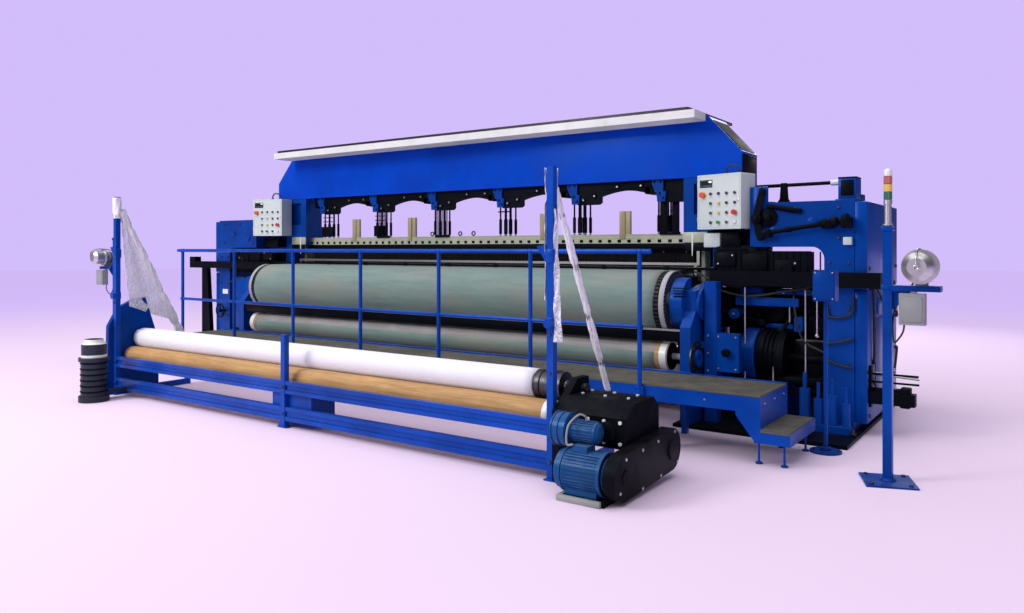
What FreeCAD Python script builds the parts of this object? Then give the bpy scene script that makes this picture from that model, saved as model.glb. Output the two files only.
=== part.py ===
"""Wide rapier power loom with an overhead heald gantry and a separate batching unit in front.

The loom's own frame: +X runs along the cloth width to the drive end, +Y runs from the
operator's side to the warp side, and +Z is up. The origin is the centre of the four
foundation bolts, at floor level. Every length is in millimetres.
"""
import FreeCAD, Part
import math
import os

V = FreeCAD.Vector

# ---------------------------------------------------------------- driving dimensions
# Working width and the two end frames
work_half = 3050.0            # loom centre to the end of a heald frame
frame_gap = 130.0             # end of the heald frames to the inner face of a wall
wall_thick = 100.0            # cast inner wall of an end frame
bay_width = 1020.0            # outer face of a wall to the inner face of the outer leg
leg_width = 250.0             # outer leg, along X
leg_front = -650.0
leg_back = 1200.0
leg_recess = 12.0             # depth of the panels sunk into the outer leg's side
leg_frame = 90.0              # width left around those panels, front and back
leg_rib = 60.0                # rib between two of those panels
arm_clear = 235.0             # drum's top to the underside of the arm over the drive bay
arm_height = 410.0
arch_radius = 110.0           # inside corner of the arch under the arm
plate_thick = 30.0            # foundation plates
plate_front = -1250.0
plate_back = 1900.0
plate_inset = 60.0            # plate under the heald frames, inside the wall
plate_lip = 70.0              # plate beyond the outer leg
bolt_lip = 35.0               # foundation bolts beyond the outer leg
bolt_y = 850.0                # foundation bolts, half the spacing along Y
bolt_r = 12.0

# Gantry over the loom
gantry_front = -400.0
gantry_back = 70.0
column_rise = 290.0           # arm's top to the underside of the gantry
knee_rise = 240.0             # underside to where the ends start to slope inwards
gantry_height = 605.0
gantry_overhang = 190.0       # gantry's end beyond the outer face of a wall
gantry_slope = 330.0          # how far each end leans in above the knee
gantry_wall = 10.0
column_width = 400.0
flange_reach = 200.0          # front flange of a column beyond its inner face
flange_thick = 70.0
roof_gap = 25.0               # roof plate above the gantry, on its stools
roof_thick = 30.0
roof_over_front = 350.0       # roof in front of the gantry
roof_over_back = 430.0        # roof behind the gantry
roof_inset = 80.0             # roof's end inside the gantry's top edge
lamp_inset = 10.0             # lamp trough's end inside the gantry's top edge
lamp_depth = 280.0
lamp_height = 80.0
lamp_sheet = 8.0
lamp_rows = 5                 # pairs of tubes along the trough

# Rollers, as place (Y, Z) and radius
drum_y, drum_z, drum_r = -950.0, 1105.0, 300.0
drum_wall = 14.0
drum_side_gap = 150.0         # end of the drum to the wall beside it
press_forward = 150.0         # press roller's axis in front of the drum's
press_gap = 57.0              # drum's lowest point to the press roller's highest
press_r = 128.0
press_side_gap = 130.0        # end of the plain rollers to the wall beside them
rest_y, rest_r = 1150.0, 90.0
beam_y, beam_z, beam_r = 1550.0, 750.0, 110.0
beam_side_gap = 170.0         # outer face of a beam disc to the wall beside it
flange_r = 430.0              # end discs of the warp beam
disc_thick = 20.0
yarn_r = 370.0                # yarn wound on the warp beam
wheel_y, wheel_z, wheel_r = -500.0, 610.0, 250.0
bar_forward = 260.0           # guide bar in front of the drum's axis
bar_rise = 70.0               # guide bar above the drum's lowest point
shaft_r = 45.0                # journals of the drum, the warp beam and the drive wheel
small_shaft_r = 30.0          # journals of the lighter rollers and of the rocking shaft
run_fit = 0.05                # radial clearance of a journal in its bore
gap = 0.4                     # running gap between pieces that move apart

# Cloth and warp
cloth_margin = 130.0          # edge of the cloth to the end of a heald frame
cloth_thick = 3.0
press_wrap_end = -200.0       # where the cloth leaves the press roller, in degrees
fell_y = -640.0               # where the cloth starts, in front of the reed

# Sley and reed
sley_y, sley_z = -420.0, 500.0
sley_margin = 40.0            # end of the race board to the end of a heald frame
race_drop = 60.0              # drum's top down to the race board's
race_depth = 120.0
race_height = 70.0
sword_width = 60.0
sword_margin = 150.0          # end of the race board to the first sword
swords = 7
reed_thick = 14.0
reed_height = 135.0
reed_cap = 26.0
gripper_length = 170.0
gripper_width = 50.0
gripper_height = 26.0

# Heald frames
heald_y = (-250.0, -190.0, -130.0)
heald_thick = 32.0
heald_above = 375.0           # drum's top to the top of a heald frame at rest
heald_below = 445.0           # drum's top down to the bottom of a heald frame at rest
heald_bar = 100.0
heald_side = 40.0
stations = 6                  # lifting stations along the gantry
station_left = 390.0          # end of the heald frames to the first and to the last station
station_right = 545.0
rod_offset = 95.0             # from a station to the middle of its lifting rods
rod_r = 7.0
rod_pitch = 28.0              # from one lifting rod to the next, along X
rods_per_frame = 2
rod_entry = 120.0             # length of a rod inside the gantry
guide_fit = 0.3               # radial clearance of a lifting rod in its guide hole

# Walkway, steps and handrail
walk_gap = 150.0              # front of the drum to the walkway
walk_depth = 720.0
rail_top = 1620.0
rail_mid = 985.0
rail_r = 20.0
mid_rail_r = 17.0
post_r = 19.0
post_margin = 150.0           # end of the walkway to the last post
rail_past = 100.0             # rail beyond the last post
posts_each_side = 3
tread_z = 520.0
tread_thick = 12.0
walk_past = 80.0              # walkway beyond the outer face of a wall
deck_short = 360.0            # outer face of the leg back to the end of the deck
step_run = 220.0
step_z = 260.0
step_skirt = 95.0
fascia_height = 120.0
sheet = 6.0                   # folded sheet of the fascias and cheeks
walk_ribs = 9
toe_strip = 40.0
walk_leg = 50.0
foot_r = 26.0
foot_stem_r = 9.0

handwheel_r = 16.0            # handwheel's spindle
handwheel_depth = 60.0        # the spindle's length in the left leg
handwheel_inset = 150.0       # outer face of the leg to the spindle
handwheel_z = 690.0
handwheel_rim_r = 96.0

# Control panels
panel_width = 490.0
panel_depth = 235.0
panel_height = 525.0
panel_rise = 170.0            # underside of the arm to a panel's lower edge
panel_inset = 120.0           # gantry's end back to the middle of a panel
panel_forward = 300.0         # panel's face in front of the gantry
panel_yaw = 15.0              # the panels face inwards by this many degrees
panel_clear = 75.0            # edge of a panel to the arm's front block
button_pitch_x = 90.0
button_pitch_z = 92.0
button_travel = 6.0
button_r = 15.0
stop_r = 24.0
emergency_r = 27.0
button_bore_depth = 40.0
button_fit = 0.4
screen_left, screen_right = -209.0, -78.0
screen_low, screen_high = 408.0, 467.0
screen_depth = 6.0

# Weft feeder stands and the pull-switch pedestal
stand_gap = 495.0             # outer face of the leg to the stand's tube
stand_back = 120.0            # stand's axis behind the handrail
stand_tube = 60.0
stand_top = 1780.0
stand_plate = 330.0
lamp_column_top = 2180.0
shelf_z = 1330.0
shelf_thick = 40.0
shelf_reach = 330.0
weft_drum_r = 118.0
feeder_spindle_r = 10.0
pedestal_inset = 60.0         # outer face of the leg back to the pedestal's axis
pedestal_box_z = 1205.0
pull_r = 6.0
pull_ball_z = 925.0

# Batching unit, a free-standing frame in front of the walkway
batch_gap = 1180.0            # handrail to the unit's posts
batch_margin = 190.0          # end of a heald frame to the middle of a post
batch_mid = 245.0
batch_tube = 53.0
batch_post_top = 2200.0
batch_mid_top = 840.0
strut_reach = 860.0           # post to the foot of its strut
strut_foot_z = 450.0
strut_top_z = 2080.0
strut_r = 20.0
rail_low = (66.0, 190.0)
rail_high = (311.0, 424.0)
rail_depth = 45.0
roller_r = 100.0
roller_z = 420.0
roller_clear = 57.5           # back of the rails to the front drive roller
roller_nip = 40.0             # between the two drive rollers
roll_r = 122.0
core_r = 40.0
collar_step = 15.0            # cloth roll's radius to the collar's beside it
roll_left_gap = 15.0          # left post's middle to the end of the cloth roll
roll_right_gap = 295.0        # right post's middle to the other end of the cloth roll
bearing_plate = 55.0
bearing_front = 280.0         # plate in front of the front drive roller
bearing_behind = 90.0         # plate behind the back drive roller
crown_rise = 83.0             # top of the gearbox above the cloth roll's axis
motor_forward, motor_z, motor_r = 220.0, 176.0, 136.0
pulley_behind, pulley_z = 80.0, 210.0
guard_r = 148.0
guard_sheet = 6.0
guard_reach = 597.0           # right post's middle to the belt guard
guard_thick = 88.0
clutch_forward, clutch_z = 155.0, 416.0
clutch_r, clutch_motor_r = 110.0, 68.0
take_off_forward = 350.0      # take-off motor's axis in front of the posts
take_off_inset = 185.0        # left post's middle to the take-off motor's axis

# Values worked out from the ones above
wall_in = work_half + frame_gap
wall_out = wall_in + wall_thick
leg_in = wall_out + bay_width
leg_outer = leg_in + leg_width
plate_out = leg_outer + plate_lip
bolt_x = leg_outer + bolt_lip
cloth_half = work_half - cloth_margin
cloth_r = gap + cloth_thick / 2      # a roller's surface to the middle of the sheet on it
drum_top = drum_z + drum_r
warp_z = drum_top + cloth_r
rest_z = drum_top - rest_r
race_z = drum_top - race_drop
reed_top = race_z + reed_height
heald_top = drum_top + heald_above
heald_bottom = drum_top - heald_below
arm_bottom = drum_top + arm_clear
arm_top = arm_bottom + arm_height
gantry_bottom = arm_top + column_rise
gantry_knee = gantry_bottom + knee_rise
gantry_top = gantry_bottom + gantry_height
gantry_half = wall_out + gantry_overhang
gantry_top_half = gantry_half - gantry_slope
column_in = gantry_half - column_width
roof_half = gantry_top_half - roof_inset
roof_front = gantry_front - roof_over_front
lamp_half = gantry_top_half - lamp_inset
press_y = drum_y - press_forward
press_z = drum_z - drum_r - press_gap - press_r
bar_y = drum_y - bar_forward
bar_z = drum_z - drum_r + bar_rise
station_pitch = (2 * work_half - station_left - station_right) / (stations - 1)
walk_back = drum_y - drum_r - walk_gap
rail_y = walk_back - walk_depth
walk_end = wall_out + walk_past
deck_end = leg_outer - deck_short
step_end = deck_end + step_run
post_pitch = (walk_end - post_margin) / posts_each_side
fascia_low = tread_z - tread_thick - fascia_height
handwheel_x = leg_outer - handwheel_inset
panel_x = gantry_half - panel_inset
panel_y = gantry_front - panel_forward
panel_bottom = arm_bottom + panel_rise
stand_x = leg_outer + stand_gap
stand_y = rail_y + stand_back
batch_y = rail_y - batch_gap
batch_left = batch_mid - (work_half - batch_margin)
batch_right = batch_mid + (work_half - batch_margin)
strut_foot_y = batch_y + strut_reach
roller_front_y = batch_y + rail_depth / 2 + roller_clear + roller_r
roller_back_y = roller_front_y + 2 * roller_r + roller_nip
half_pitch = (roller_back_y - roller_front_y) / 2.0
roll_y = (roller_back_y + roller_front_y) / 2.0
roll_z = roller_z + math.sqrt((roll_r + roller_r + gap) ** 2 - half_pitch ** 2)
roll_left = batch_left + roll_left_gap
roll_right = batch_right - roll_right_gap
bearing_y0 = roller_front_y - bearing_front
bearing_y1 = roller_back_y + bearing_behind
motor_y = batch_y - motor_forward
pulley_y = roller_back_y + pulley_behind
clutch_y = batch_y - clutch_forward
guard_left = batch_right + guard_reach
guard_right = guard_left + guard_thick


# ---------------------------------------------------------------- shape helpers
def box(x0, x1, y0, y1, z0, z1):
    """A block between two corners."""
    return Part.makeBox(x1 - x0, y1 - y0, z1 - z0, V(x0, y0, z0))


def rod_x(x0, x1, y, z, r):
    """A round bar along X."""
    return Part.makeCylinder(r, x1 - x0, V(x0, y, z), V(1, 0, 0))


def rod_y(y0, y1, x, z, r):
    """A round bar along Y."""
    return Part.makeCylinder(r, y1 - y0, V(x, y0, z), V(0, 1, 0))


def rod_z(z0, z1, x, y, r):
    """A round bar along Z."""
    return Part.makeCylinder(r, z1 - z0, V(x, y, z0), V(0, 0, 1))


def rod_between(start, end, r):
    """A round bar between two points."""
    line = end.sub(start)
    return Part.makeCylinder(r, line.Length, start, line)


def plate_yz(x0, x1, points):
    """An outline in the YZ plane, thickened along X."""
    wire = Part.makePolygon([V(x0, y, z) for y, z in points + points[:1]])
    return Part.Face(wire).extrude(V(x1 - x0, 0, 0))


def plate_xz(y0, y1, points):
    """An outline in the XZ plane, thickened along Y."""
    wire = Part.makePolygon([V(x, y0, z) for x, z in points + points[:1]])
    return Part.Face(wire).extrude(V(0, y1 - y0, 0))


def plate_xy(z0, z1, points):
    """An outline in the XY plane, thickened along Z."""
    wire = Part.makePolygon([V(x, y, z0) for x, y in points + points[:1]])
    return Part.Face(wire).extrude(V(0, 0, z1 - z0))


def fuse(shapes):
    """One solid from shapes that meet."""
    body = shapes[0].multiFuse(shapes[1:]) if len(shapes) > 1 else shapes[0]
    return body.removeSplitter()


def cut(shape, tools):
    """A shape with tools taken away."""
    return shape.cut(Part.makeCompound(tools))


def flip(shape):
    """The shape's mirror image about the loom's middle."""
    return shape.mirror(V(0, 0, 0), V(1, 0, 0))


def both_ends(shapes):
    """The shapes at the drive end and their mirror images at the far end."""
    return shapes + [flip(s) for s in shapes]


def moved(shape, x, y, z):
    """The shape moved by a distance along each axis."""
    return shape.translated(V(x, y, z))


def edges_along(shape, axis, keep=lambda middle: True):
    """The straight edges of a shape along an axis whose middle passes a test."""
    found = []
    for edge in shape.Edges:
        if len(edge.Vertexes) != 2:
            continue
        line = edge.Vertexes[1].Point.sub(edge.Vertexes[0].Point)
        if line.Length > 1e-6 and abs(abs(line.dot(axis)) - line.Length) < 1e-6:
            if keep(edge.CenterOfMass):
                found.append(edge)
    return found


def rounded(shape, axis, radius, keep=lambda middle: True):
    """A shape with its edges along an axis rounded."""
    edges = edges_along(shape, axis, keep)
    return shape.makeFillet(radius, edges) if edges else shape


X_AXIS, Y_AXIS, Z_AXIS = V(1, 0, 0), V(0, 1, 0), V(0, 0, 1)
nodes = {}


def node(name, *solids):
    """Keeps a named piece, or a group of separate solids under one name."""
    nodes[name] = solids[0] if len(solids) == 1 else Part.makeCompound(list(solids))


# ---------------------------------------------------------------- belts over rollers
def tangent(a, b):
    """The straight run from one roller to the next, each given as (y, z, r, turn).

    The turn is 1 where the belt runs round the roller from +Y towards +Z, and -1 the
    other way. Returns the leaving point, the meeting point and the run's angle.
    """
    dy, dz = b[0] - a[0], b[1] - a[1]
    spread = (a[3] * a[2] - b[3] * b[2]) / math.hypot(dy, dz)
    angle = math.atan2(dz, dy) + math.asin(spread)
    side_y, side_z = math.sin(angle), -math.cos(angle)
    leave = (a[0] + a[3] * a[2] * side_y, a[1] + a[3] * a[2] * side_z)
    meet = (b[0] + b[3] * b[2] * side_y, b[1] + b[3] * b[2] * side_z)
    return leave, meet, angle


def arc_round(centre, r, first, last):
    """An arc in the YZ plane between two angles in degrees, as an edge at X = 0."""
    def at(deg):
        t = math.radians(deg)
        return V(0, centre[0] + r * math.cos(t), centre[1] + r * math.sin(t))
    return Part.Arc(at(first), at((first + last) / 2.0), at(last)).toShape()


def sheet_solid(half, thick, pieces):
    """A sheet from arcs (centre, radius, first, last) and runs (start, end) of its middle line."""
    parts = []
    for piece in pieces:
        if len(piece) == 4:
            centre, r, first, last = piece
            inside = arc_round(centre, r - thick / 2, first, last)
            outside = arc_round(centre, r + thick / 2, first, last)
            sides = [Part.makeLine(inside.Vertexes[i].Point, outside.Vertexes[i].Point)
                     for i in (0, 1)]
            wire = Part.Wire([inside, sides[1], outside, sides[0]])
        else:
            (y0, z0), (y1, z1) = piece
            length = math.hypot(y1 - y0, z1 - z0)
            ny, nz = -(z1 - z0) / length * thick / 2, (y1 - y0) / length * thick / 2
            corners = [V(0, y0 + ny, z0 + nz), V(0, y1 + ny, z1 + nz),
                       V(0, y1 - ny, z1 - nz), V(0, y0 - ny, z0 - nz)]
            wire = Part.makePolygon(corners + corners[:1])
        parts.append(moved(Part.Face(wire).extrude(V(2 * half, 0, 0)), -half, 0, 0))
    return fuse(parts)


# ---------------------------------------------------------------- end frames
def foundation_plate():
    """The drive end's foundation plate with its two bolt holes."""
    plate = box(wall_in - plate_inset, plate_out, plate_front, plate_back, 0, plate_thick)
    holes = [rod_z(-1, plate_thick + 1, bolt_x, y, bolt_r) for y in (-bolt_y, bolt_y)]
    return cut(plate, holes)


def end_frame():
    """The drive end's casting: inner wall, base ribs, arm and outer leg."""
    low = plate_thick
    outline = [(bar_y - 15, low), (bar_y - 15, bar_z + 30), (drum_y - 150, drum_z - 60),
               (drum_y - 150, drum_z + 130), (gantry_front, drum_z + 220), (gantry_front, arm_bottom),
               (gantry_back, arm_bottom), (gantry_back, rest_z + 110), (rest_y + 110, rest_z + 110),
               (rest_y + 130, rest_z - 120), (beam_y + 170, beam_z + 170), (beam_y + 170, low)]
    wall = plate_yz(wall_in, wall_out, outline)
    bosses = [rod_x(wall_in, wall_out + 40, press_y, press_z, 78.0),
              rod_x(wall_in, wall_out + 30, drum_y, drum_z, 150.0),
              rod_x(wall_in, wall_out + 40, beam_y, beam_z, 105.0),
              rod_x(wall_in, wall_out + 25, wheel_y, wheel_z, 95.0)]
    head = rounded(box(wall_in, leg_outer, gantry_front, gantry_back, arm_bottom, arm_top),
                   Z_AXIS, 40.0, lambda m: m.x > leg_outer - 1)
    column_seat = box(column_in, gantry_half, gantry_front, gantry_back, arm_bottom, arm_top)
    arm = cut(head, [column_seat])
    nose = box(panel_x + panel_width / 2 + panel_clear, leg_outer, leg_front, gantry_front,
               arm_bottom, arm_top)
    nose = rounded(nose, Y_AXIS, 90.0, lambda m: m.z > arm_top - 1 and m.x < leg_outer - 1)
    leg = box(leg_in, leg_outer, leg_front, leg_back, low, arm_top)
    leg = rounded(leg, X_AXIS, 160.0, lambda m: m.y > leg_back - 1 and m.z > arm_top - 1)
    gusset = arch_corner(leg_in, -1)
    ribs = [box(wall_out, leg_in, y, y + 90, low, 330.0) for y in (leg_front + 420, leg_back - 120)]
    frame = fuse([wall] + bosses + [arm, nose, leg, gusset] + ribs)
    bores = [rod_x(wall_in - 1, leg_outer, y, z, r + run_fit) for y, z, r in
             ((press_y, press_z, small_shaft_r), (drum_y, drum_z, shaft_r),
              (rest_y, rest_z, small_shaft_r), (beam_y, beam_z, shaft_r),
              (sley_y, sley_z, small_shaft_r))]
    bores = [b.common(box(wall_in - 1, wall_out + 60, -9999, 9999, 0, 9999)) for b in bores]
    bores.append(rod_x(wall_in - 1, leg_outer - 120, wheel_y, wheel_z, shaft_r + run_fit))
    panel_step = (arm_top - 150.0 - 140.0 + leg_rib) / 3
    panels = [box(leg_outer - leg_recess, leg_outer + 1, leg_front + leg_frame, leg_back - leg_frame,
                  140.0 + i * panel_step, 140.0 + (i + 1) * panel_step - leg_rib) for i in range(3)]
    return cut(frame, bores + panels)


def arch_corner(x, side):
    """The rounded corner where the arm meets an upright."""
    x0, x1 = sorted((x, x + side * arch_radius))
    block = box(x0, x1, leg_front, gantry_back, arm_bottom - arch_radius, arm_bottom)
    hollow = rod_y(leg_front - 1, gantry_back + 1, x + side * arch_radius,
                   arm_bottom - arch_radius, arch_radius)
    return block.cut(hollow)


def make_end_frames():
    plate = foundation_plate()
    motor_plate = box(guard_left - 310, guard_left - 4, motor_y - 120, motor_y + 260, 0.0, 40.0)
    node("floor_plates", plate, flip(plate), motor_plate)
    frame = end_frame()
    spindle_bore = rod_y(leg_front - 1, leg_front + handwheel_depth + 2, -handwheel_x, handwheel_z,
                         handwheel_r + run_fit)
    node("end_frames", frame, flip(frame).cut(spindle_bore))
    tie_x = wall_in
    ties = [box(-tie_x, tie_x, gantry_back - 200, gantry_back - 40, 240.0, 400.0),
            box(-tie_x, tie_x, rest_y - 330, rest_y - 210, 300.0, 440.0),
            rod_x(-tie_x, tie_x, drum_y + 40, press_z - press_r - 132, 60.0),
            box(-tie_x, tie_x, bar_y - 15, bar_y + 15, bar_z - 9, bar_z + 9)]
    node("tie_beams", *ties)


# ---------------------------------------------------------------- gantry
def station_places():
    """The X of each lifting station."""
    return [-work_half + station_left + i * station_pitch for i in range(stations)]


def rod_places(station, frame):
    """The X of one frame's lifting rods at one station."""
    count = rods_per_frame * len(heald_y)
    first = station + rod_offset - (count - 1) / 2.0 * rod_pitch
    return [first + (i * len(heald_y) + frame) * rod_pitch for i in range(rods_per_frame)]


def gantry_outline(inset, bottom):
    """The front outline of the gantry, brought in by a wall."""
    half, top_half = gantry_half - inset, gantry_top_half - inset * 0.6
    return [(-half, bottom), (half, bottom), (half, gantry_knee), (top_half, gantry_top - inset),
            (-top_half, gantry_top - inset), (-half, gantry_knee)]


def make_gantry():
    shell = plate_xz(gantry_front, gantry_back, gantry_outline(0.0, gantry_bottom))
    hollow = plate_xz(gantry_front + gantry_wall, gantry_back - gantry_wall,
                      gantry_outline(gantry_wall, gantry_bottom + gantry_wall))
    guides = []
    for station in station_places():
        for number, y in enumerate(heald_y):
            for x in rod_places(station, number):
                guides.append(rod_z(gantry_bottom - 1, gantry_bottom + gantry_wall + 1, x, y,
                                    rod_r + guide_fit))
    node("gantry_beam", cut(shell, [hollow] + guides))

    tube = box(column_in, gantry_half, gantry_front + flange_thick, gantry_back,
               arm_bottom, gantry_bottom)
    flange = box(column_in - flange_reach, gantry_half, gantry_front,
                 gantry_front + flange_thick, arm_bottom, gantry_bottom)
    window = box(column_in - 90, gantry_half - 110, gantry_front - 1, gantry_front + flange_thick - 8,
                 arm_bottom + 330, gantry_bottom - 60)
    flange = rounded(cut(flange, [window]), Y_AXIS, 60.0,
                     lambda m: m.x < column_in - flange_reach + 1 and m.z < arm_bottom + 1)
    node("gantry_columns", *both_ends([fuse([tube, flange])]))

    roof_z = gantry_top + roof_gap
    roof = box(-roof_half, roof_half, roof_front, gantry_back + roof_over_back,
               roof_z, roof_z + roof_thick)
    stools = []
    for i in range(5):
        x = (i - 2) * roof_half * 0.45
        for y in (gantry_front + 60, gantry_back - 60):
            stools.append(box(x - 60, x + 60, y - 30, y + 30, gantry_top, roof_z))
    node("roof_cover", fuse([roof] + stools))

    lamp_z = roof_z - lamp_height
    trough = box(-lamp_half, lamp_half, roof_front - lamp_sheet, roof_front + lamp_depth,
                 lamp_z, roof_z)
    inside = box(-lamp_half + lamp_sheet, lamp_half - lamp_sheet, roof_front,
                 roof_front + lamp_depth - lamp_sheet, lamp_z - 1, roof_z - lamp_sheet)
    node("lamp_trough", trough.cut(inside))
    tubes = []
    pitch = 2 * (lamp_half - 40) / lamp_rows
    for i in range(lamp_rows):
        x0 = -lamp_half + 40 + i * pitch
        for y in (roof_front + 80, roof_front + lamp_depth - 90):
            tubes.append(rod_x(x0 + 20, x0 + pitch - 20, y, lamp_z + 30, 16.0))
            tubes.append(box(x0 + 60, x0 + 120, y - 12, y + 12, lamp_z + 46, roof_z - lamp_sheet))
    node("lamp_tubes", *[fuse(tubes[i:i + 2]) for i in range(0, len(tubes), 2)])


def make_lift_gear():
    """Brackets and rocker castings under the gantry, one set at each station."""
    brackets, rockers = [], []
    low = gantry_bottom
    front = gantry_front + flange_thick + 5
    for x in station_places():
        block = box(x - 95, x - 25, front, heald_y[-1] + 60, low - 150, low)
        flare = plate_xz(front, front + 30,
                         [(x - 190, low - 26), (x - 190, low), (x + 30, low), (x + 30, low - 26),
                          (x - 25, low - 80), (x - 95, low - 80)])
        brackets.append(fuse([block, flare]))
        web = plate_xz(front + 6, front + 26,
                       [(x + 30, low), (x + 620, low), (x + 560, low - 120), (x + 470, low - 190),
                        (x + 400, low - 205), (x + 330, low - 120), (x + 210, low - 70)])
        hub = rod_y(front - 10, front + 40, x + 430, low - 150, 46.0)
        rockers.append(fuse([web, hub]))
    node("lift_brackets", *brackets)
    node("lift_rockers", *rockers[:-1])


# ---------------------------------------------------------------- healds, sley and reed
def make_heald_frames():
    for number, y in enumerate(heald_y):
        y0, y1 = y - heald_thick / 2, y + heald_thick / 2
        top = box(-work_half, work_half, y0, y1, heald_top - heald_bar, heald_top)
        low = box(-work_half, work_half, y0, y1, heald_bottom, heald_bottom + heald_bar)
        sides = [box(x, x + heald_side, y0, y1, heald_bottom + heald_bar, heald_top - heald_bar)
                 for x in (-work_half, work_half - heald_side)]
        rods, blocks = [], []
        for station in station_places():
            for x in rod_places(station, number):
                rods.append(rod_z(heald_top, gantry_bottom + rod_entry, x, y, rod_r))
                blocks.append(box(x - 12, x + 12, y - 12, y + 12, heald_top + 60, heald_top + 190))
        node("heald_frame_%d" % (number + 1), fuse([top, low] + sides + rods + blocks))


def make_sley():
    half = work_half - sley_margin
    y0 = sley_y - race_depth / 2
    race = box(-half, half, y0, y0 + race_depth, race_z - race_height, race_z)
    reach = wall_in + wall_thick - 10
    shaft = rod_x(-reach, reach, sley_y, sley_z, small_shaft_r)
    tube = rod_x(-half, half, sley_y, sley_z, 52.0)
    arms = []
    for i in range(swords):
        x = -half + sword_margin + i * 2 * (half - sword_margin) / (swords - 1)
        arms.append(box(x - sword_width / 2, x + sword_width / 2, sley_y - 38, sley_y + 38,
                        sley_z + 20, race_z - race_height))
    node("sley", fuse([race, shaft, tube] + arms))
    y1 = y0 + race_depth - reed_thick - 20
    low = box(-half, half, y1, y1 + reed_thick, race_z, race_z + 22)
    cap = box(-half, half, y1 - 4, y1 + reed_thick + 4, reed_top - reed_cap, reed_top)
    ends = [box(x, x + 30, y1, y1 + reed_thick, race_z + 22, reed_top - reed_cap)
            for x in (-half, half - 30)]
    lip = box(half, half + 30, y1 - 4, y1 + reed_thick + 4, reed_top - reed_cap, reed_top + 120)
    node("reed", fuse([low, cap] + ends + [lip]))


def make_grippers():
    """The two gripper heads that carry the weft along the race board to the middle."""
    half = work_half - sley_margin
    front, back = sley_y - race_depth / 2 + 6, sley_y - race_depth / 2 + 6 + gripper_width
    tip, shoulder, low = half - gripper_length, half - gripper_length + 50, race_z + gap
    nose = plate_xy(low, low + gripper_height,
                    [(tip, front + 12), (shoulder, front), (half - 10, front), (half - 10, back),
                     (shoulder, back), (tip, back - 16)])
    slot = box(tip - 1, tip + 60, front + 19, front + 27, low + 10, low + gripper_height + 1)
    head = nose.cut(slot)
    node("gripper_right", head)
    node("gripper_left", flip(head))


# ---------------------------------------------------------------- rollers, cloth and warp
def roller(y, z, steps, r_journal, reach):
    """A roller whose journals end a reach past the outer face of each wall, or short of it."""
    shaft = rod_x(-wall_out - reach, wall_out + reach, y, z, r_journal)
    return fuse([shaft] + [rod_x(x0, x1, y, z, r) for x0, x1, r in steps])


def make_rollers():
    drum_half = wall_in - drum_side_gap
    drum = roller(drum_y, drum_z, [(-drum_half, drum_half, drum_r)], shaft_r, 20.0)
    inside = rod_x(-drum_half + 25, drum_half - 25, drum_y, drum_z, drum_r - drum_wall)
    inside = inside.cut(rod_x(-drum_half, drum_half, drum_y, drum_z, shaft_r))
    ports = []
    for i in range(5):
        t = math.radians(72 * i + 90)
        port_ring = (shaft_r + drum_r) / 2 + 7.5
        y, z = drum_y + port_ring * math.cos(t), drum_z + port_ring * math.sin(t)
        ports.append(rod_x(-drum_half - 1, drum_half + 1, y, z, 55.0))
    node("takeup_drum", cut(drum, [inside] + ports))
    press_half = wall_in - press_side_gap
    node("press_roller", roller(press_y, press_z, [(-press_half, press_half, press_r)],
                                small_shaft_r, -10.0))
    node("back_rest", roller(rest_y, rest_z, [(-press_half, press_half, rest_r)],
                             small_shaft_r, -10.0))
    outer = wall_in - beam_side_gap
    half = outer - disc_thick
    node("warp_beam", roller(beam_y, beam_z, [(-outer, outer, beam_r), (-outer, -half, flange_r),
                                              (half, outer, flange_r)], shaft_r, 30.0))
    yarn = rod_x(-half, half, beam_y, beam_z, yarn_r).cut(
        rod_x(-half - 1, half + 1, beam_y, beam_z, beam_r))
    node("warp_yarn", yarn)


def make_cloth():
    drum = (drum_y, drum_z, drum_r + cloth_r, 1)
    press = (press_y, press_z, press_r + cloth_r, -1)
    leave, meet, angle = tangent(drum, press)
    turn = math.degrees(angle)
    web = sheet_solid(cloth_half, cloth_thick, [
        ((fell_y, warp_z), (drum_y, warp_z)),
        ((drum_y, drum_z), drum[2], 90.0, turn - 90.0 + 360.0),
        (leave, meet),
        ((press_y, press_z), press[2], turn + 90.0, press_wrap_end)])
    node("cloth_web", web)
    rest = (rest_y, rest_z, rest_r + cloth_r, -1)
    beam = (beam_y, beam_z, yarn_r + cloth_r, -1)
    leave, meet, angle = tangent(rest, beam)
    turn = math.degrees(angle)
    warp = sheet_solid(cloth_half, cloth_thick, [
        ((fell_y + gap, warp_z), (rest_y, warp_z)),
        ((rest_y, rest_z), rest[2], 90.0, turn + 90.0),
        (leave, meet),
        ((beam_y, beam_z), beam[2], turn + 90.0, turn + 60.0)])
    node("warp_sheet", warp)


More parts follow.
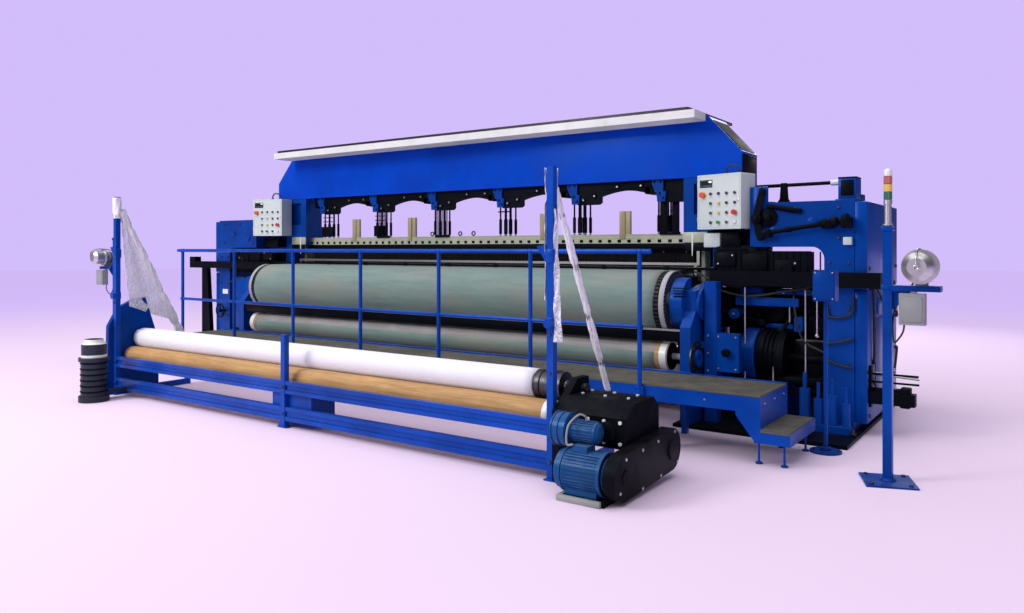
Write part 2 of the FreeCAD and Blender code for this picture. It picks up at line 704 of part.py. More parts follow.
# ---------------------------------------------------------------- drives
def make_drives():
    wheel_left = wall_out + 440.0
    wheel_width = 240.0
    wheel = fuse([rod_x(wall_in + 10, leg_outer - 125, wheel_y, wheel_z, shaft_r),
                  rod_x(wheel_left, wheel_left + wheel_width, wheel_y, wheel_z, wheel_r),
                  rod_x(wheel_left - 60, wheel_left, wheel_y, wheel_z, 110.0)])
    groove_left, groove_right = wheel_left + wheel_width / 4, wheel_left + wheel_width * 3 / 4
    groove = rod_x(groove_left, groove_right, wheel_y, wheel_z, wheel_r + 1).cut(
        rod_x(groove_left, groove_right, wheel_y, wheel_z, wheel_r - 14))
    node("drive_wheel", wheel.cut(groove))

    x0, y, z, r = wall_out + 150, 560.0, plate_thick + 230.0, 150.0
    body = rod_x(x0, x0 + 420, y, z, r)
    cap = rod_x(x0 + 420, x0 + 500, y, z, r - 20)
    foot = box(x0 + 60, x0 + 360, y - 140, y + 140, plate_thick, plate_thick + 30)
    cheeks = [box(x0 + x, x0 + x + 24, y - 120, y + 120, plate_thick + 30, z - 60) for x in (80.0, 316.0)]
    terminal = box(x0 + 120, x0 + 300, y - 60, y + 60, z + 120, z + 210)
    stub = rod_x(x0 - 60, x0, y, z, 24.0)
    node("main_motor", fuse([body, cap, foot, terminal, stub] + cheeks))

    ring_left = wall_in - drum_side_gap + 30
    ring = rod_x(ring_left, wall_in, drum_y, drum_z, drum_r - 55).cut(
        rod_x(ring_left - 1, wall_in + 1, drum_y, drum_z, shaft_r + 25))
    ring = ring.cut(box(ring_left - 1, wall_in + 1, drum_y, drum_y + drum_r,
                        drum_z - drum_r, drum_z + drum_r))
    post_x, post_y = wall_out + 40, plate_front + 250
    column = rounded(box(post_x, post_x + 120, post_y, post_y + 120, plate_thick, 1320.0), Z_AXIS, 12.0)
    hood = rounded(box(post_x + 120, post_x + 330, post_y, post_y + 70, 500.0, 850.0), Y_AXIS, 10.0)
    strap = box(wall_out, post_x, post_y + 10, post_y + 100, 700.0, 760.0)
    shelf = box(wall_out, post_x, post_y + 10, post_y + 100, 300.0, 360.0)
    node("drive_covers", ring, column, hood, strap, shelf)

    seam, top = race_z + 85, race_z + 255
    block = box(wall_out, leg_in - 150, leg_front + 10, leg_front + 230, seam, top)
    low = box(wall_out, leg_in, leg_front + 10, leg_front + 190, seam - 170, seam)
    housing = rounded(fuse([block, low]), Y_AXIS, 30.0, lambda m: m.z > top - 1 and m.x > wall_out + 1)
    node("rapier_drives", housing, flip(housing))

    rail_front = leg_front - 105.0
    right = box(wall_out, leg_outer + 230, rail_front, leg_front, race_z - 65, race_z + 70)
    left = box(-leg_outer - 620, -wall_out, rail_front, leg_front, race_z - 15, seam)
    end_block = box(-leg_outer - 620, -leg_outer - 480, rail_front, leg_front, seam, seam + 70)
    leg = plate_xz(rail_front + 20, leg_front - 20,
                   [(-leg_outer - 330, 0.0), (-leg_outer - 90, 0.0), (-leg_outer - 200, race_z - 15),
                    (-leg_outer - 330, race_z - 15)])
    bars = [rod_x(leg_outer, leg_outer + 500, leg_front + 30, 545.0, 9.0),
            rod_x(leg_outer, leg_outer + 500, leg_front + 65, 470.0, 9.0),
            box(leg_outer, leg_outer + 470, leg_front + 40, leg_front + 140, 280.0, 385.0)]
    node("rapier_rails", right, fuse([left, end_block]), leg, *bars)

    cylinders = []
    for i, (height, r) in enumerate(((300.0, 46.0), (220.0, 38.0), (260.0, 42.0), (200.0, 34.0))):
        x = leg_in - 130 + i * 115
        y, foot_z = leg_front - 140, plate_thick + 60
        body = fuse([rod_z(foot_z, foot_z + height, x, y, r),
                     rod_z(foot_z + height, foot_z + height + 140, x, y, r * 0.4)])
        cylinders.append(body)
    bed = box(leg_in - 200, leg_outer, leg_front - 200, leg_front - 80, plate_thick, plate_thick + 60)
    node("actuator_cylinders", fuse(cylinders + [bed]))

    node("handwheel", handwheel(-handwheel_x, leg_front - 95.0, handwheel_z))


def handwheel(x, y, z):
    """A three-spoked handwheel whose spindle runs back along +Y into the left leg."""
    rim = Part.makeTorus(handwheel_rim_r, 10.0, V(x, y, z), V(0, 1, 0))
    hub = rod_y(y - 22, y + 22, x, z, 24.0)
    spindle = rod_y(y + 22, leg_front + handwheel_depth, x, z, handwheel_r)
    spokes = []
    for i in range(3):
        t = math.radians(90 + 120 * i)
        reach = handwheel_rim_r - 4
        tip = V(x + reach * math.cos(t), y, z + reach * math.sin(t))
        spokes.append(rod_between(V(x, y, z), tip, 8.0))
    grip = rod_y(y - 70, y, x + handwheel_rim_r, z, 9.0)
    return fuse([rim, hub, spindle, grip] + spokes)


# ---------------------------------------------------------------- walkway and handrail
def post_places():
    """The X of each handrail post."""
    return [i * post_pitch for i in range(-posts_each_side, posts_each_side + 1)]


def make_walkway():
    """The long walkway, the step at the drive end, their legs and feet, and the treads."""
    low, top = fascia_low, tread_z - tread_thick
    front, back = rail_y + post_r, walk_back
    inner_front, inner_back = front + sheet, back - sheet
    frame = [box(-walk_end, deck_end, front, inner_front, low, top),
             box(-walk_end, deck_end, inner_back, back, low, top),
             box(-walk_end, -walk_end + sheet, inner_front, inner_back, low, top),
             box(deck_end - sheet, deck_end, inner_front, inner_back, low, top)]
    for i in range(walk_ribs):
        x = -walk_end + sheet + (i + 0.5) * (walk_end + deck_end - 2 * sheet) / walk_ribs
        frame.append(box(x, x + sheet, inner_front, inner_back, low, top))
    legs = []
    for x in (-walk_end + 60, -walk_end / 2 + 20, 20.0, walk_end / 2 + 20, walk_end - 70):
        for y in (inner_front, inner_back - walk_leg):
            legs.append(box(x, x + walk_leg, y, y + walk_leg, 0.0, low))

    step_low = step_z - step_skirt
    cheek = [(deck_end - 190, low), (deck_end - 190, low - 30), (deck_end - 40, step_low),
             (step_end, step_low), (step_end, step_z), (deck_end, step_z), (deck_end, low)]
    step = [plate_xz(y, y + sheet, cheek) for y in (front, inner_back)]
    for x, z0, z1 in ((step_end - sheet, step_low, step_z), (deck_end - 190, low - 30, low),
                      (deck_end - sheet, step_z, low)):
        step.append(box(x, x + sheet, inner_front, inner_back, z0, z1))
    feet = []
    for x in (deck_end - 30, step_end - 60):
        step.append(box(x - 25, x + 25, inner_front, inner_back, step_low, step_low + 10))
        for y in (front + 60, back - 60):
            feet.append(fuse([rod_z(0, 12, x, y, foot_r), rod_z(12, step_low, x, y, foot_stem_r)]))

    strips = [box(-walk_end, walk_end, back - toe_strip, back, top, tread_z + 14),
              box(walk_end, deck_end, back - toe_strip, back, top, tread_z + 6)]
    props = both_ends([box(wall_in + 20, wall_in + 80, back, bar_y - 15, low + 20, low + 80)])
    node("walkway_frame", fuse(frame), fuse(step), *(legs + strips + feet + props))
    treads = [box(-walk_end, walk_end - 2, front, back - toe_strip, top, tread_z),
              box(walk_end + 2, deck_end, front, back - toe_strip, top, tread_z),
              box(deck_end, step_end, front, back - toe_strip, step_z, step_z + tread_thick)]
    node("walkway_treads", *treads)


def make_handrail():
    rail_end = posts_each_side * post_pitch + rail_past
    top_z = rail_top - rail_r
    pieces = [rod_x(-rail_end, rail_end, rail_y, top_z, rail_r)]
    xs = post_places()
    for x in xs:
        pieces.append(rod_z(fascia_low + 4, top_z, x, rail_y, post_r))
    pieces.append(rod_x(xs[0], xs[-1], rail_y, rail_mid, mid_rail_r))
    node("handrail", fuse(pieces))


# ---------------------------------------------------------------- control panels
def panel_place(shape, side):
    """Puts a shape from the panel's own frame in its place at the drive end or the far end.

    In the panel's own frame the front face lies on Y = 0, centred on X, and Z starts at
    the box's lower edge.
    """
    placed = shape.copy()
    placed.rotate(V(0, 0, 0), Z_AXIS, -panel_yaw * side)
    return moved(placed, panel_x * side, panel_y, panel_bottom)


def button_spot(column, row):
    """The X and Z of a place in the panel's grid, counted from the left and from the top."""
    return (column - 1) * button_pitch_x, 340.0 - row * button_pitch_z


def cap_with_stem(x, z, r, length):
    """A push button: a cap in front of the door with its stem in the door's hole."""
    return fuse([rod_y(-length, -button_travel - 1.5, x, z, r),
                 rod_y(-button_travel - 1.5, button_bore_depth - button_travel - 2, x, z, r * 0.45)])


def make_panels():
    half = panel_width / 2
    holes = []
    push = {"stop_button": (button_spot(3, 2), stop_r), "start_button": (button_spot(1, 3), button_r),
            "emergency_stop": ((-178.0, 331.0), emergency_r)}
    for (x, z), r in push.values():
        holes.append(rod_y(-1, button_bore_depth, x, z, r * 0.45 + button_fit))
    case = rounded(box(-half, half, 0, panel_depth, 0, panel_height), Y_AXIS, 8.0)
    bezel = box(-half + 14, half - 14, -1.0, 3.0, 14, panel_height - 14)
    frame = box(-half + 18, half - 18, -2.0, 4.0, 18, panel_height - 18)
    case = cut(case, [bezel.cut(frame)] + holes)
    case = case.cut(box(screen_left, screen_right, -1, screen_depth, screen_low, screen_high))
    screen = box(screen_left + 0.5, screen_right - 0.5, 1.0, screen_depth,
                 screen_low + 0.5, screen_high - 0.5)
    lamps = []
    moving = [spot for spot, r in push.values()]
    for row in range(4):
        for column in range(4):
            x, z = button_spot(column, row)
            if (x, z) not in moving:
                lamps.append(fuse([rod_y(-12, 0, x, z, button_r), rod_y(-4, 0, x, z, button_r + 5)]))
    cases, fittings = [], []
    for side in (-1, 1):
        placed = panel_place(case, side)
        cases.append(placed)
        prop = box(panel_x - 130, panel_x + 90, panel_y + 180, gantry_front,
                   panel_bottom + 60, panel_bottom + 420)
        prop = prop if side > 0 else flip(prop)
        cases.append(prop.cut(placed))
        fittings += [panel_place(s, side) for s in lamps + [screen]]
        end = "right" if side > 0 else "left"
        for name, ((x, z), r) in push.items():
            cap = cap_with_stem(x, z, r, 16.0 + r * 0.6)
            node("%s_%s" % (name, end), panel_place(cap, side))
    node("control_panels", *[s.Solids[0] if s.Solids else s for s in cases])
    node("pilot_lamps", *fittings)


# ---------------------------------------------------------------- stands
def make_stands():
    stands, boxes, lamps = [], [], []
    half = stand_tube / 2
    arm_end = stand_x + shelf_reach
    for side in (-1, 1):
        tube = box(stand_x - half, stand_x + half, stand_y - half, stand_y + half, 12.0, stand_top)
        foot = box(-stand_plate / 2, stand_plate / 2, -stand_plate / 2, stand_plate / 2, 0.0, 12.0)
        foot.rotate(V(0, 0, 0), Z_AXIS, 20.0)
        foot = moved(foot, stand_x, stand_y, 0.0)
        shelf = box(stand_x + half, arm_end, stand_y - 60, stand_y + 60, shelf_z, shelf_z + shelf_thick)
        brace = plate_xz(stand_y - 6, stand_y + 6, [(stand_x + half, shelf_z - 130),
                                                    (stand_x + half, shelf_z), (stand_x + 190, shelf_z)])
        stand = fuse([tube, foot, shelf, brace])
        case = rounded(box(stand_x + 90, stand_x + 250, stand_y - 150, stand_y - 60,
                           shelf_z - 220, shelf_z - 10), Z_AXIS, 10.0)
        hanger = box(stand_x + 150, stand_x + 190, stand_y - 60, stand_y - 40, shelf_z - 60, shelf_z)
        case = fuse([case, hanger])
        column = fuse([rod_z(stand_top, stand_top + 90, stand_x, stand_y, 24.0),
                       rod_z(stand_top + 90, lamp_column_top - 40, stand_x, stand_y, 28.0),
                       rod_z(lamp_column_top - 40, lamp_column_top, stand_x, stand_y, 22.0)])
        for group, shape in ((stands, stand), (boxes, case), (lamps, column)):
            group.append(shape if side > 0 else flip(shape))
    node("feeder_stands", *stands)
    node("signal_lamps", *lamps)

    bodies = []
    feeder_x = stand_x + shelf_reach - 120
    feeder_z = shelf_z + shelf_thick + weft_drum_r + 12
    for side in (-1, 1):
        motor = rod_y(stand_y - 50, stand_y + 130, feeder_x, feeder_z, 80.0)
        motor = motor.cut(rod_y(stand_y - 51, stand_y + 90, feeder_x, feeder_z,
                                feeder_spindle_r + run_fit))
        neck = box(feeder_x - 35, feeder_x + 35, stand_y - 40, stand_y + 60,
                   shelf_z + shelf_thick, feeder_z - 60)
        body = fuse([neck.cut(rod_y(stand_y - 60, stand_y + 140, feeder_x, feeder_z, 40.0)), motor])
        bodies.append(body if side > 0 else flip(body))
        bell = fuse([rod_y(stand_y - 190, stand_y - 52, feeder_x, feeder_z, weft_drum_r * 0.82),
                     rod_y(stand_y - 75, stand_y - 52, feeder_x, feeder_z, weft_drum_r),
                     Part.makeCone(weft_drum_r * 0.82, weft_drum_r * 0.5, 40.0,
                                   V(feeder_x, stand_y - 190, feeder_z), V(0, -1, 0)),
                     rod_y(stand_y - 52, stand_y + 85, feeder_x, feeder_z, feeder_spindle_r)])
        end = "right" if side > 0 else "left"
        node("weft_drum_%s" % end, bell if side > 0 else flip(bell))
    node("feeder_bodies", *(bodies + boxes))


def make_pedestal():
    x, y, z = leg_outer - pedestal_inset, walk_back, pedestal_box_z
    base = fuse([rod_z(0, 14, x, y, 122.0), rod_z(14, 40, x, y, 40.0), rod_z(40, z, x, y, 17.0)])
    case = rounded(box(x - 85, x + 85, y - 60, y + 60, z, z + 245), Y_AXIS, 8.0)
    pull_x, pull_y = x - 60, y - 30
    bore = rod_z(z - 1, z + 35, pull_x, pull_y, pull_r + run_fit)
    node("pedestal", fuse([base, case]).cut(bore))
    ball = Part.makeSphere(17.0, V(pull_x, pull_y, pull_ball_z))
    node("pull_rod", fuse([rod_z(pull_ball_z + 5, z + 31, pull_x, pull_y, pull_r), ball]))


# ---------------------------------------------------------------- batching unit
def channel(x0, x1, z0, z1):
    """A rail along X with a groove in its front face."""
    bar = box(x0, x1, batch_y - rail_depth / 2, batch_y + rail_depth / 2, z0, z1)
    third = (z1 - z0) * 0.3
    groove = box(x0 - 1, x1 + 1, batch_y - rail_depth / 2 - 1, batch_y - rail_depth / 2 + 16,
                 z0 + third, z1 - third)
    return bar.cut(groove)


def make_batch_frame():
    half = batch_tube / 2
    posts = []
    for x, top in ((batch_left, batch_post_top), (batch_mid, batch_mid_top), (batch_right, batch_post_top)):
        posts.append(box(x - half, x + half, batch_y - half, batch_y + half, 0.0, top))
    foot = [(batch_mid - 75, 0.0), (batch_mid - half, 0.0), (batch_mid - half, 66.0)]
    posts.append(plate_xz(batch_y - half, batch_y + half, foot))
    rails = []
    for z0, z1 in (rail_low, rail_high):
        rails.append(channel(batch_left + half, batch_mid - half, z0, z1))
        rails.append(channel(batch_mid + half, batch_right - half, z0, z1))
    floor = [box(x - half, x + half, batch_y + half, strut_foot_y + 30, 0.0, 60.0)
             for x in (batch_left, batch_right)]
    stubs = [box(x - 22, x + 22, strut_foot_y - 22, strut_foot_y + 22, 60.0, strut_foot_z)
             for x in (batch_left, batch_right)]
    support = box(batch_mid - 200, batch_mid + 330, batch_y + rail_depth / 2, batch_y + 300,
                  rail_low[0] + 30, roller_z - roller_r - 25)
    support = support.cut(box(batch_mid - half, batch_mid + half, batch_y, batch_y + half, 0, 900))
    wings = []
    for x in (batch_left, batch_right):
        wings.append(plate_xz(batch_y - 12, batch_y + 12, [(x - half, 1500.0), (x - half, 1650.0),
                                                           (x - half - 95, 1640.0)]))
        wings.append(rod_y(batch_y - half - 34, batch_y - half, x, 1100.0, 34.0))
    node("batch_frame", *(posts + rails + floor + stubs + [support] + wings))


def make_batch_struts():
    struts = []
    for x in (batch_left, batch_right):
        start = V(x, batch_y + batch_tube / 2, strut_top_z)
        end = V(x, strut_foot_y, strut_foot_z)
        bar = rod_between(start, end, strut_r)
        clear = box(x - 40, x + 40, batch_y - 60, batch_y + batch_tube / 2,
                    strut_top_z - 180, strut_top_z + 120)
        low = box(x - 60, x + 60, strut_foot_y - 80, strut_foot_y + 80, strut_foot_z - 80, strut_foot_z)
        struts.append(cut(bar, [clear, low]))
    node("post_struts", *struts)


def batch_bearing_plate(x0, x1):
    """The arched end frame that carries the two drive rollers and the cloth roll."""
    y0, y1 = bearing_y0, bearing_y1
    low = plate_yz(x0, x1, [(y0, 0.0), (y1, 0.0), (y1, 560.0), (y0 + 450, 1060.0), (y0 + 330, 1060.0),
                            (y0 + 130, 960.0), (y0 + 20, 760.0)])
    holes = [rod_x(x0 - 1, x1 + 1, y, roller_z, small_shaft_r + run_fit)
             for y in (roller_front_y, roller_back_y)]
    holes.append(rod_x(x0 - 1, x1 + 1, roll_y, roll_z, core_r + run_fit))
    return cut(low, holes)


def make_batch_rollers():
    half = batch_tube / 2
    left = batch_left - half
    node("batch_end_frame", batch_bearing_plate(left - bearing_plate, left))
    right = batch_right + half
    for name, y in (("drive_roller_front", roller_front_y), ("drive_roller_back", roller_back_y)):
        node(name, fuse([rod_x(left + 30, right - 60, y, roller_z, roller_r),
                         rod_x(left - 50, right + 90, y, roller_z, small_shaft_r)]))
    node("roll_core", fuse([rod_x(left - 50, right + 90, roll_y, roll_z, core_r),
                            rod_x(roll_right, roll_right + 230, roll_y, roll_z, roll_r - collar_step)]))
    cloth = rod_x(roll_left, roll_right, roll_y, roll_z, roll_r).cut(
        rod_x(roll_left - 1, roll_right + 1, roll_y, roll_z, core_r))
    node("batch_roll", cloth)


def stadium(x0, x1, a, b, r):
    """A flat-sided loop in the YZ plane about two centres, thickened along X."""
    leave, meet, angle = tangent((a[0], a[1], r, 1), (b[0], b[1], r, 1))
    back_leave, back_meet = tangent((b[0], b[1], r, 1), (a[0], a[1], r, 1))[:2]
    turn = math.degrees(angle) - 90.0
    ends = [arc_round(b, r, turn, turn + 180.0), arc_round(a, r, turn + 180.0, turn + 360.0)]
    runs = [Part.makeLine(V(0, *leave), V(0, *meet)), Part.makeLine(V(0, *back_leave), V(0, *back_meet))]
    wire = Part.Wire([runs[0], ends[0], runs[1], ends[1]])
    return moved(Part.Face(wire).extrude(V(x1 - x0, 0, 0)), x0, 0, 0)


def make_batch_drive():
    right = batch_right + batch_tube / 2
    y0, y1 = bearing_y0 + 60, bearing_y1 - 40
    case = plate_yz(right, guard_left, [(y0, 300.0), (y1, 300.0), (y1, 500.0), (y1 - 80, 590.0),
                                        (y0 + 140, 590.0), (y0, 500.0)])
    cheek = box(right, right + bearing_plate, y0, y1, 0.0, 300.0)
    crown = roll_z + crown_rise
    top = plate_yz(right, right + bearing_plate, [(y0 + 140, 590.0), (y1 - 80, 590.0),
                                                  (roll_y + 80, crown), (roll_y - 80, crown)])
    case = fuse([case, cheek, top])
    bores = [rod_x(right - 1, right + 100, y, roller_z, small_shaft_r + run_fit)
             for y in (roller_front_y, roller_back_y)]
    bores.append(rod_x(right - 1, right + 100, roll_y, roll_z, core_r + run_fit))
    node("gearbox", cut(case, bores))

    motor_left, clutch_left = guard_left - 330, right + 120
    body = rod_x(motor_left, guard_left - 30, motor_y, motor_z, motor_r)
    flange = rod_x(guard_left - 30, guard_left, motor_y, motor_z, motor_r - 20)
    cowl = rod_x(motor_left - 40, motor_left, motor_y, motor_z, motor_r - 8)
    junction = box(motor_left + 60, motor_left + 170, motor_y - 55, motor_y + 55,
                   motor_z + motor_r - 14, motor_z + motor_r + 28)
    shank = box(motor_left + 30, motor_left + 260, motor_y - 100, motor_y + 100, 40.0, motor_z - 60)
    lower = fuse([body, flange, cowl, junction, shank])
    clutch = fuse([rod_x(clutch_left, clutch_left + 115, clutch_y, clutch_z, clutch_r),
                   rod_x(clutch_left + 115, clutch_left + 310, clutch_y, clutch_z, clutch_motor_r),
                   box(clutch_left + 10, clutch_left + 110, clutch_y, y0, clutch_z - 30, clutch_z + 30)])
    node("batch_motors", lower, clutch)
    shell = stadium(guard_left, guard_right, (motor_y, motor_z), (pulley_y, pulley_z), guard_r)
    inside = stadium(guard_left + guard_sheet, guard_right - guard_sheet, (motor_y, motor_z),
                     (pulley_y, pulley_z), guard_r - guard_sheet)
    holes = [rod_x(guard_left - 1, guard_left + guard_sheet + 1, y, z, 60.0)
             for y, z in ((motor_y, motor_z), (pulley_y, pulley_z))]
    node("belt_guard", cut(shell, [inside] + holes))

    x, y = batch_left + take_off_inset, batch_y - take_off_forward
    arm = box(x - 50, x + 50, y, batch_y - rail_depth / 2, rail_low[0], rail_low[0] + 34)
    unit = fuse([arm, rod_z(0, 60, x, y, 150.0), rod_z(60, 430, x, y, 128.0), rod_z(430, 465, x, y, 150.0),
                 rod_z(465, 610, x, y, 122.0), rod_z(610, 660, x, y, 90.0)])
    node("take_off_motor", unit)


def main():
    """Builds every piece and writes one STEP file for each."""
    make_end_frames()
    make_gantry()
    make_lift_gear()
    make_heald_frames()
    make_sley()
    make_grippers()
    make_rollers()
    make_cloth()
    make_drives()
    make_walkway()
    make_handrail()
    make_panels()
    make_stands()
    make_pedestal()
    make_batch_frame()
    make_batch_struts()
    make_batch_rollers()
    make_batch_drive()
    os.makedirs("parts", exist_ok=True)
    for name, shape in nodes.items():
        shape.exportStep("parts/%s.step" % name)
    print(len(nodes), "pieces")


main()
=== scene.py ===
"""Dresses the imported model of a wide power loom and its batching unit.

Everything is in metres in the loom's own frame: +X along the cloth width to the drive end,
+Y from the operator's side to the warp side, +Z up, with the floor at Z = 0.
"""
from __future__ import annotations

import logging
import math
from dataclasses import dataclass, field
from enum import Enum
from typing import Iterable, Sequence

import bmesh
import bpy
import numpy as np
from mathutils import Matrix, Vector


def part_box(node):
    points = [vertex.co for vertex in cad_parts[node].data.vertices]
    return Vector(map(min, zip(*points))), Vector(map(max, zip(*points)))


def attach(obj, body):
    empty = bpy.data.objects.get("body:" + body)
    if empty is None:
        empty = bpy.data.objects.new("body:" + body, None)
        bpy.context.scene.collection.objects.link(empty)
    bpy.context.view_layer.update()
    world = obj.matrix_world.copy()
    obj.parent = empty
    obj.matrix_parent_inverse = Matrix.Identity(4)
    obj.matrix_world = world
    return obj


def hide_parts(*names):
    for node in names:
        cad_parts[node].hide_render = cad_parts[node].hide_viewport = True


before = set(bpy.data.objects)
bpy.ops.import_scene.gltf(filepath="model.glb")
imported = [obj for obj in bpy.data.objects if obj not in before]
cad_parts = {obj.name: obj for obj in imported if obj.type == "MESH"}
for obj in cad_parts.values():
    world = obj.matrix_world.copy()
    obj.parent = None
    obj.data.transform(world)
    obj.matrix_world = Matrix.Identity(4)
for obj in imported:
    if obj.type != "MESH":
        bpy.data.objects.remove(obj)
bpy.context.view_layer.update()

log = logging.getLogger("loom")
Array = np.ndarray
Colour = tuple[float, float, float]

# Each roller's axis, as Y and Z, and its radius. The yarn's radius stands for the warp beam.
DRUM = (-0.95, 1.105, 0.30)
PRESS = (-1.10, 0.62, 0.128)
REST = (1.15, 1.315, 0.09)
BEAM = (1.55, 0.75, 0.37)
STATIONS = -2.66 + 1.033 * np.arange(6)


# ================================================================ surfaces
class Axis(Enum):
    """One of the three directions of the loom's frame."""

    X = 0
    Y = 1
    Z = 2

    def frame(self) -> Array:
        """Three rows: two directions across the axis, then the axis itself."""
        unit = np.eye(3)
        return unit[[(self.value + 1) % 3, (self.value + 2) % 3, self.value]]


@dataclass(frozen=True)
class Shape:
    """Points, faces and, where a pattern follows the surface, a UV pair for each point."""

    points: Array
    faces: list
    uv: Array | None = None

    def moved(self, x: float = 0.0, y: float = 0.0, z: float = 0.0) -> Shape:
        """The shape moved along the three axes."""
        return Shape(self.points + np.array([x, y, z]), self.faces, self.uv)

    def turned(self, axis: Axis, degrees: float) -> Shape:
        """The shape turned about an axis through the origin, anticlockwise seen from its tip."""
        a, b, c = axis.frame()
        t = math.radians(degrees)
        p, q, r = self.points @ a, self.points @ b, self.points @ c
        turned = np.outer(p * math.cos(t) - q * math.sin(t), a)
        turned += np.outer(p * math.sin(t) + q * math.cos(t), b) + np.outer(r, c)
        return Shape(turned, self.faces, self.uv)

    def mirrored(self) -> Shape:
        """The shape's mirror image about the loom's middle, its faces still outwards."""
        return Shape(self.points * np.array([-1.0, 1.0, 1.0]), [f[::-1] for f in self.faces], self.uv)

    def repeated(self, places: Sequence | Array) -> Shape:
        """A copy at each place: every point plus every place."""
        places = np.asarray(places, dtype=float).reshape(-1, 3)
        count = len(self.points)
        points = (places[:, None, :] + self.points[None]).reshape(-1, 3)
        faces = [[i + k * count for i in f] for k in range(len(places)) for f in self.faces]
        uv = None if self.uv is None else np.tile(self.uv, (len(places), 1))
        return Shape(points, faces, uv)


def joined(shapes: Iterable[Shape]) -> Shape:
    """One shape from several that don't share points."""
    shapes = list(shapes)
    starts = np.cumsum([0] + [len(s.points) for s in shapes])
    faces = [[i + int(k) for i in f] for s, k in zip(shapes, starts) for f in s.faces]
    uv = None
    if all(s.uv is not None for s in shapes):
        uv = np.concatenate([s.uv for s in shapes])
    return Shape(np.concatenate([s.points for s in shapes]), faces, uv)


def both_ends(shape: Shape) -> Shape:
    """A shape and its mirror image, at the two ends of the loom."""
    return joined([shape, shape.mirrored()])


def along_x(x: Array) -> Array:
    """Places at the given distances along the loom's width."""
    return np.stack([x, 0 * x, 0 * x], -1)


def surface(points: Array, round_columns: bool = False, caps: bool = False, uv: Array | None = None) -> Shape:
    """A grid of points as quads.

    Args:
        points: an array of rows by columns by 3.
        round_columns: the last column joins the first.
        caps: the first and last row are closed with one face each.
        uv: rows by columns by 2, where a pattern follows the surface.

    Returns:
        The shape, one quad to each cell of the grid.
    """
    rows, columns = points.shape[:2]
    r = np.arange(rows - 1)
    c = np.arange(columns if round_columns else columns - 1)
    r0, c0 = np.meshgrid(r, c, indexing="ij")
    r1, c1 = r0 + 1, (c0 + 1) % columns
    quads = np.stack([r0 * columns + c0, r0 * columns + c1, r1 * columns + c1, r1 * columns + c0], -1)
    faces = quads.reshape(-1, 4).tolist()
    if caps:
        faces.append(list(range(columns))[::-1])
        faces.append(list(range((rows - 1) * columns, rows * columns)))
    return Shape(points.reshape(-1, 3), faces, None if uv is None else uv.reshape(-1, 2))


def lathe(profile: Sequence, axis: Axis, centre: Sequence = (0, 0, 0), sides: int = 32) -> Shape:
    """A turned piece: each (along, radius) of the profile swept round the axis.

    A point is the centre plus the distance along the axis, plus the radius times the cosine
    and the sine of the turn in the two directions across it. Both ends are closed.
    """
    across, other, along = axis.frame()
    steps = np.asarray(profile, dtype=float)
    t = np.linspace(0.0, 2 * math.pi, sides, endpoint=False)
    ring = np.cos(t)[:, None] * across + np.sin(t)[:, None] * other
    points = np.asarray(centre, dtype=float) + steps[:, 0, None, None] * along
    points = points + np.maximum(steps[:, 1], 1e-5)[:, None, None] * ring
    return surface(points, round_columns=True, caps=True)


def ring_profile(first: float, last: float, foot: float, top: float, bevel: float) -> list:
    """A ring's profile: up from the foot radius to the top one over the bevel, along, and down again."""
    return [(first, foot), (first + bevel, top), (last - bevel, top), (last, foot)]


def block(low: Sequence, high: Sequence, edge: float = 0.004, corner: int = 3) -> Shape:
    """A block with all its edges rounded.

    The outline is a rectangle whose corners are quarter circles of the edge's radius. It is
    carried along Z, drawn in by the edge times one minus the cosine near both ends.
    """
    low, high = np.asarray(low, dtype=float), np.asarray(high, dtype=float)
    edge = min(edge, 0.49 * float(np.min(high - low)))
    quarter = np.linspace(0.0, math.pi / 2, corner)
    t = (quarter[None] + np.arange(4)[:, None] * math.pi / 2).reshape(-1)
    half = (high[:2] - low[:2]) / 2 - edge
    sign = np.repeat(np.array([[1, 1], [-1, 1], [-1, -1], [1, -1]]), corner, axis=0)
    drawn = edge * (1 - np.sin(quarter))
    lift = edge * (1 - np.cos(quarter))
    inset = np.concatenate([drawn, drawn[::-1]])
    height = np.concatenate([low[2] + lift, high[2] - lift[::-1]])
    reach = sign * half + edge * np.stack([np.cos(t), np.sin(t)], -1)
    shrink = 1 - inset[:, None, None] / np.maximum(half + edge, 1e-6)
    flat = (low[:2] + high[:2]) / 2 + reach[None] * shrink
    rows = np.broadcast_to(height[:, None, None], flat.shape[:2] + (1,))
    return surface(np.concatenate([flat, rows], -1), round_columns=True, caps=True)


def prism(outline: Sequence, axis: Axis, start: float, end: float, edge: float = 0.0) -> Shape:
    """A flat outline given thickness along an axis, its rims drawn in towards its middle.

    Args:
        outline: points in the two directions across the axis, in the order of Axis.frame.
        axis: the direction of the thickness.
        start: the lower face's place along the axis.
        end: the upper face's place.
        edge: the width of the bevel round both faces.

    Returns:
        The closed shape.
    """
    across, other, along = axis.frame()
    flat = np.asarray(outline, dtype=float)
    middle = flat.mean(axis=0)
    away = flat - middle
    away = away / np.maximum(np.linalg.norm(away, axis=1, keepdims=True), 1e-9)
    levels = [(start, edge), (start + edge, 0.0), (end - edge, 0.0), (end, edge)] if edge else \
        [(start, 0.0), (end, 0.0)]
    rows = [(flat - away * inset) @ np.stack([across, other]) + at * along for at, inset in levels]
    return surface(np.stack(rows), round_columns=True, caps=True)


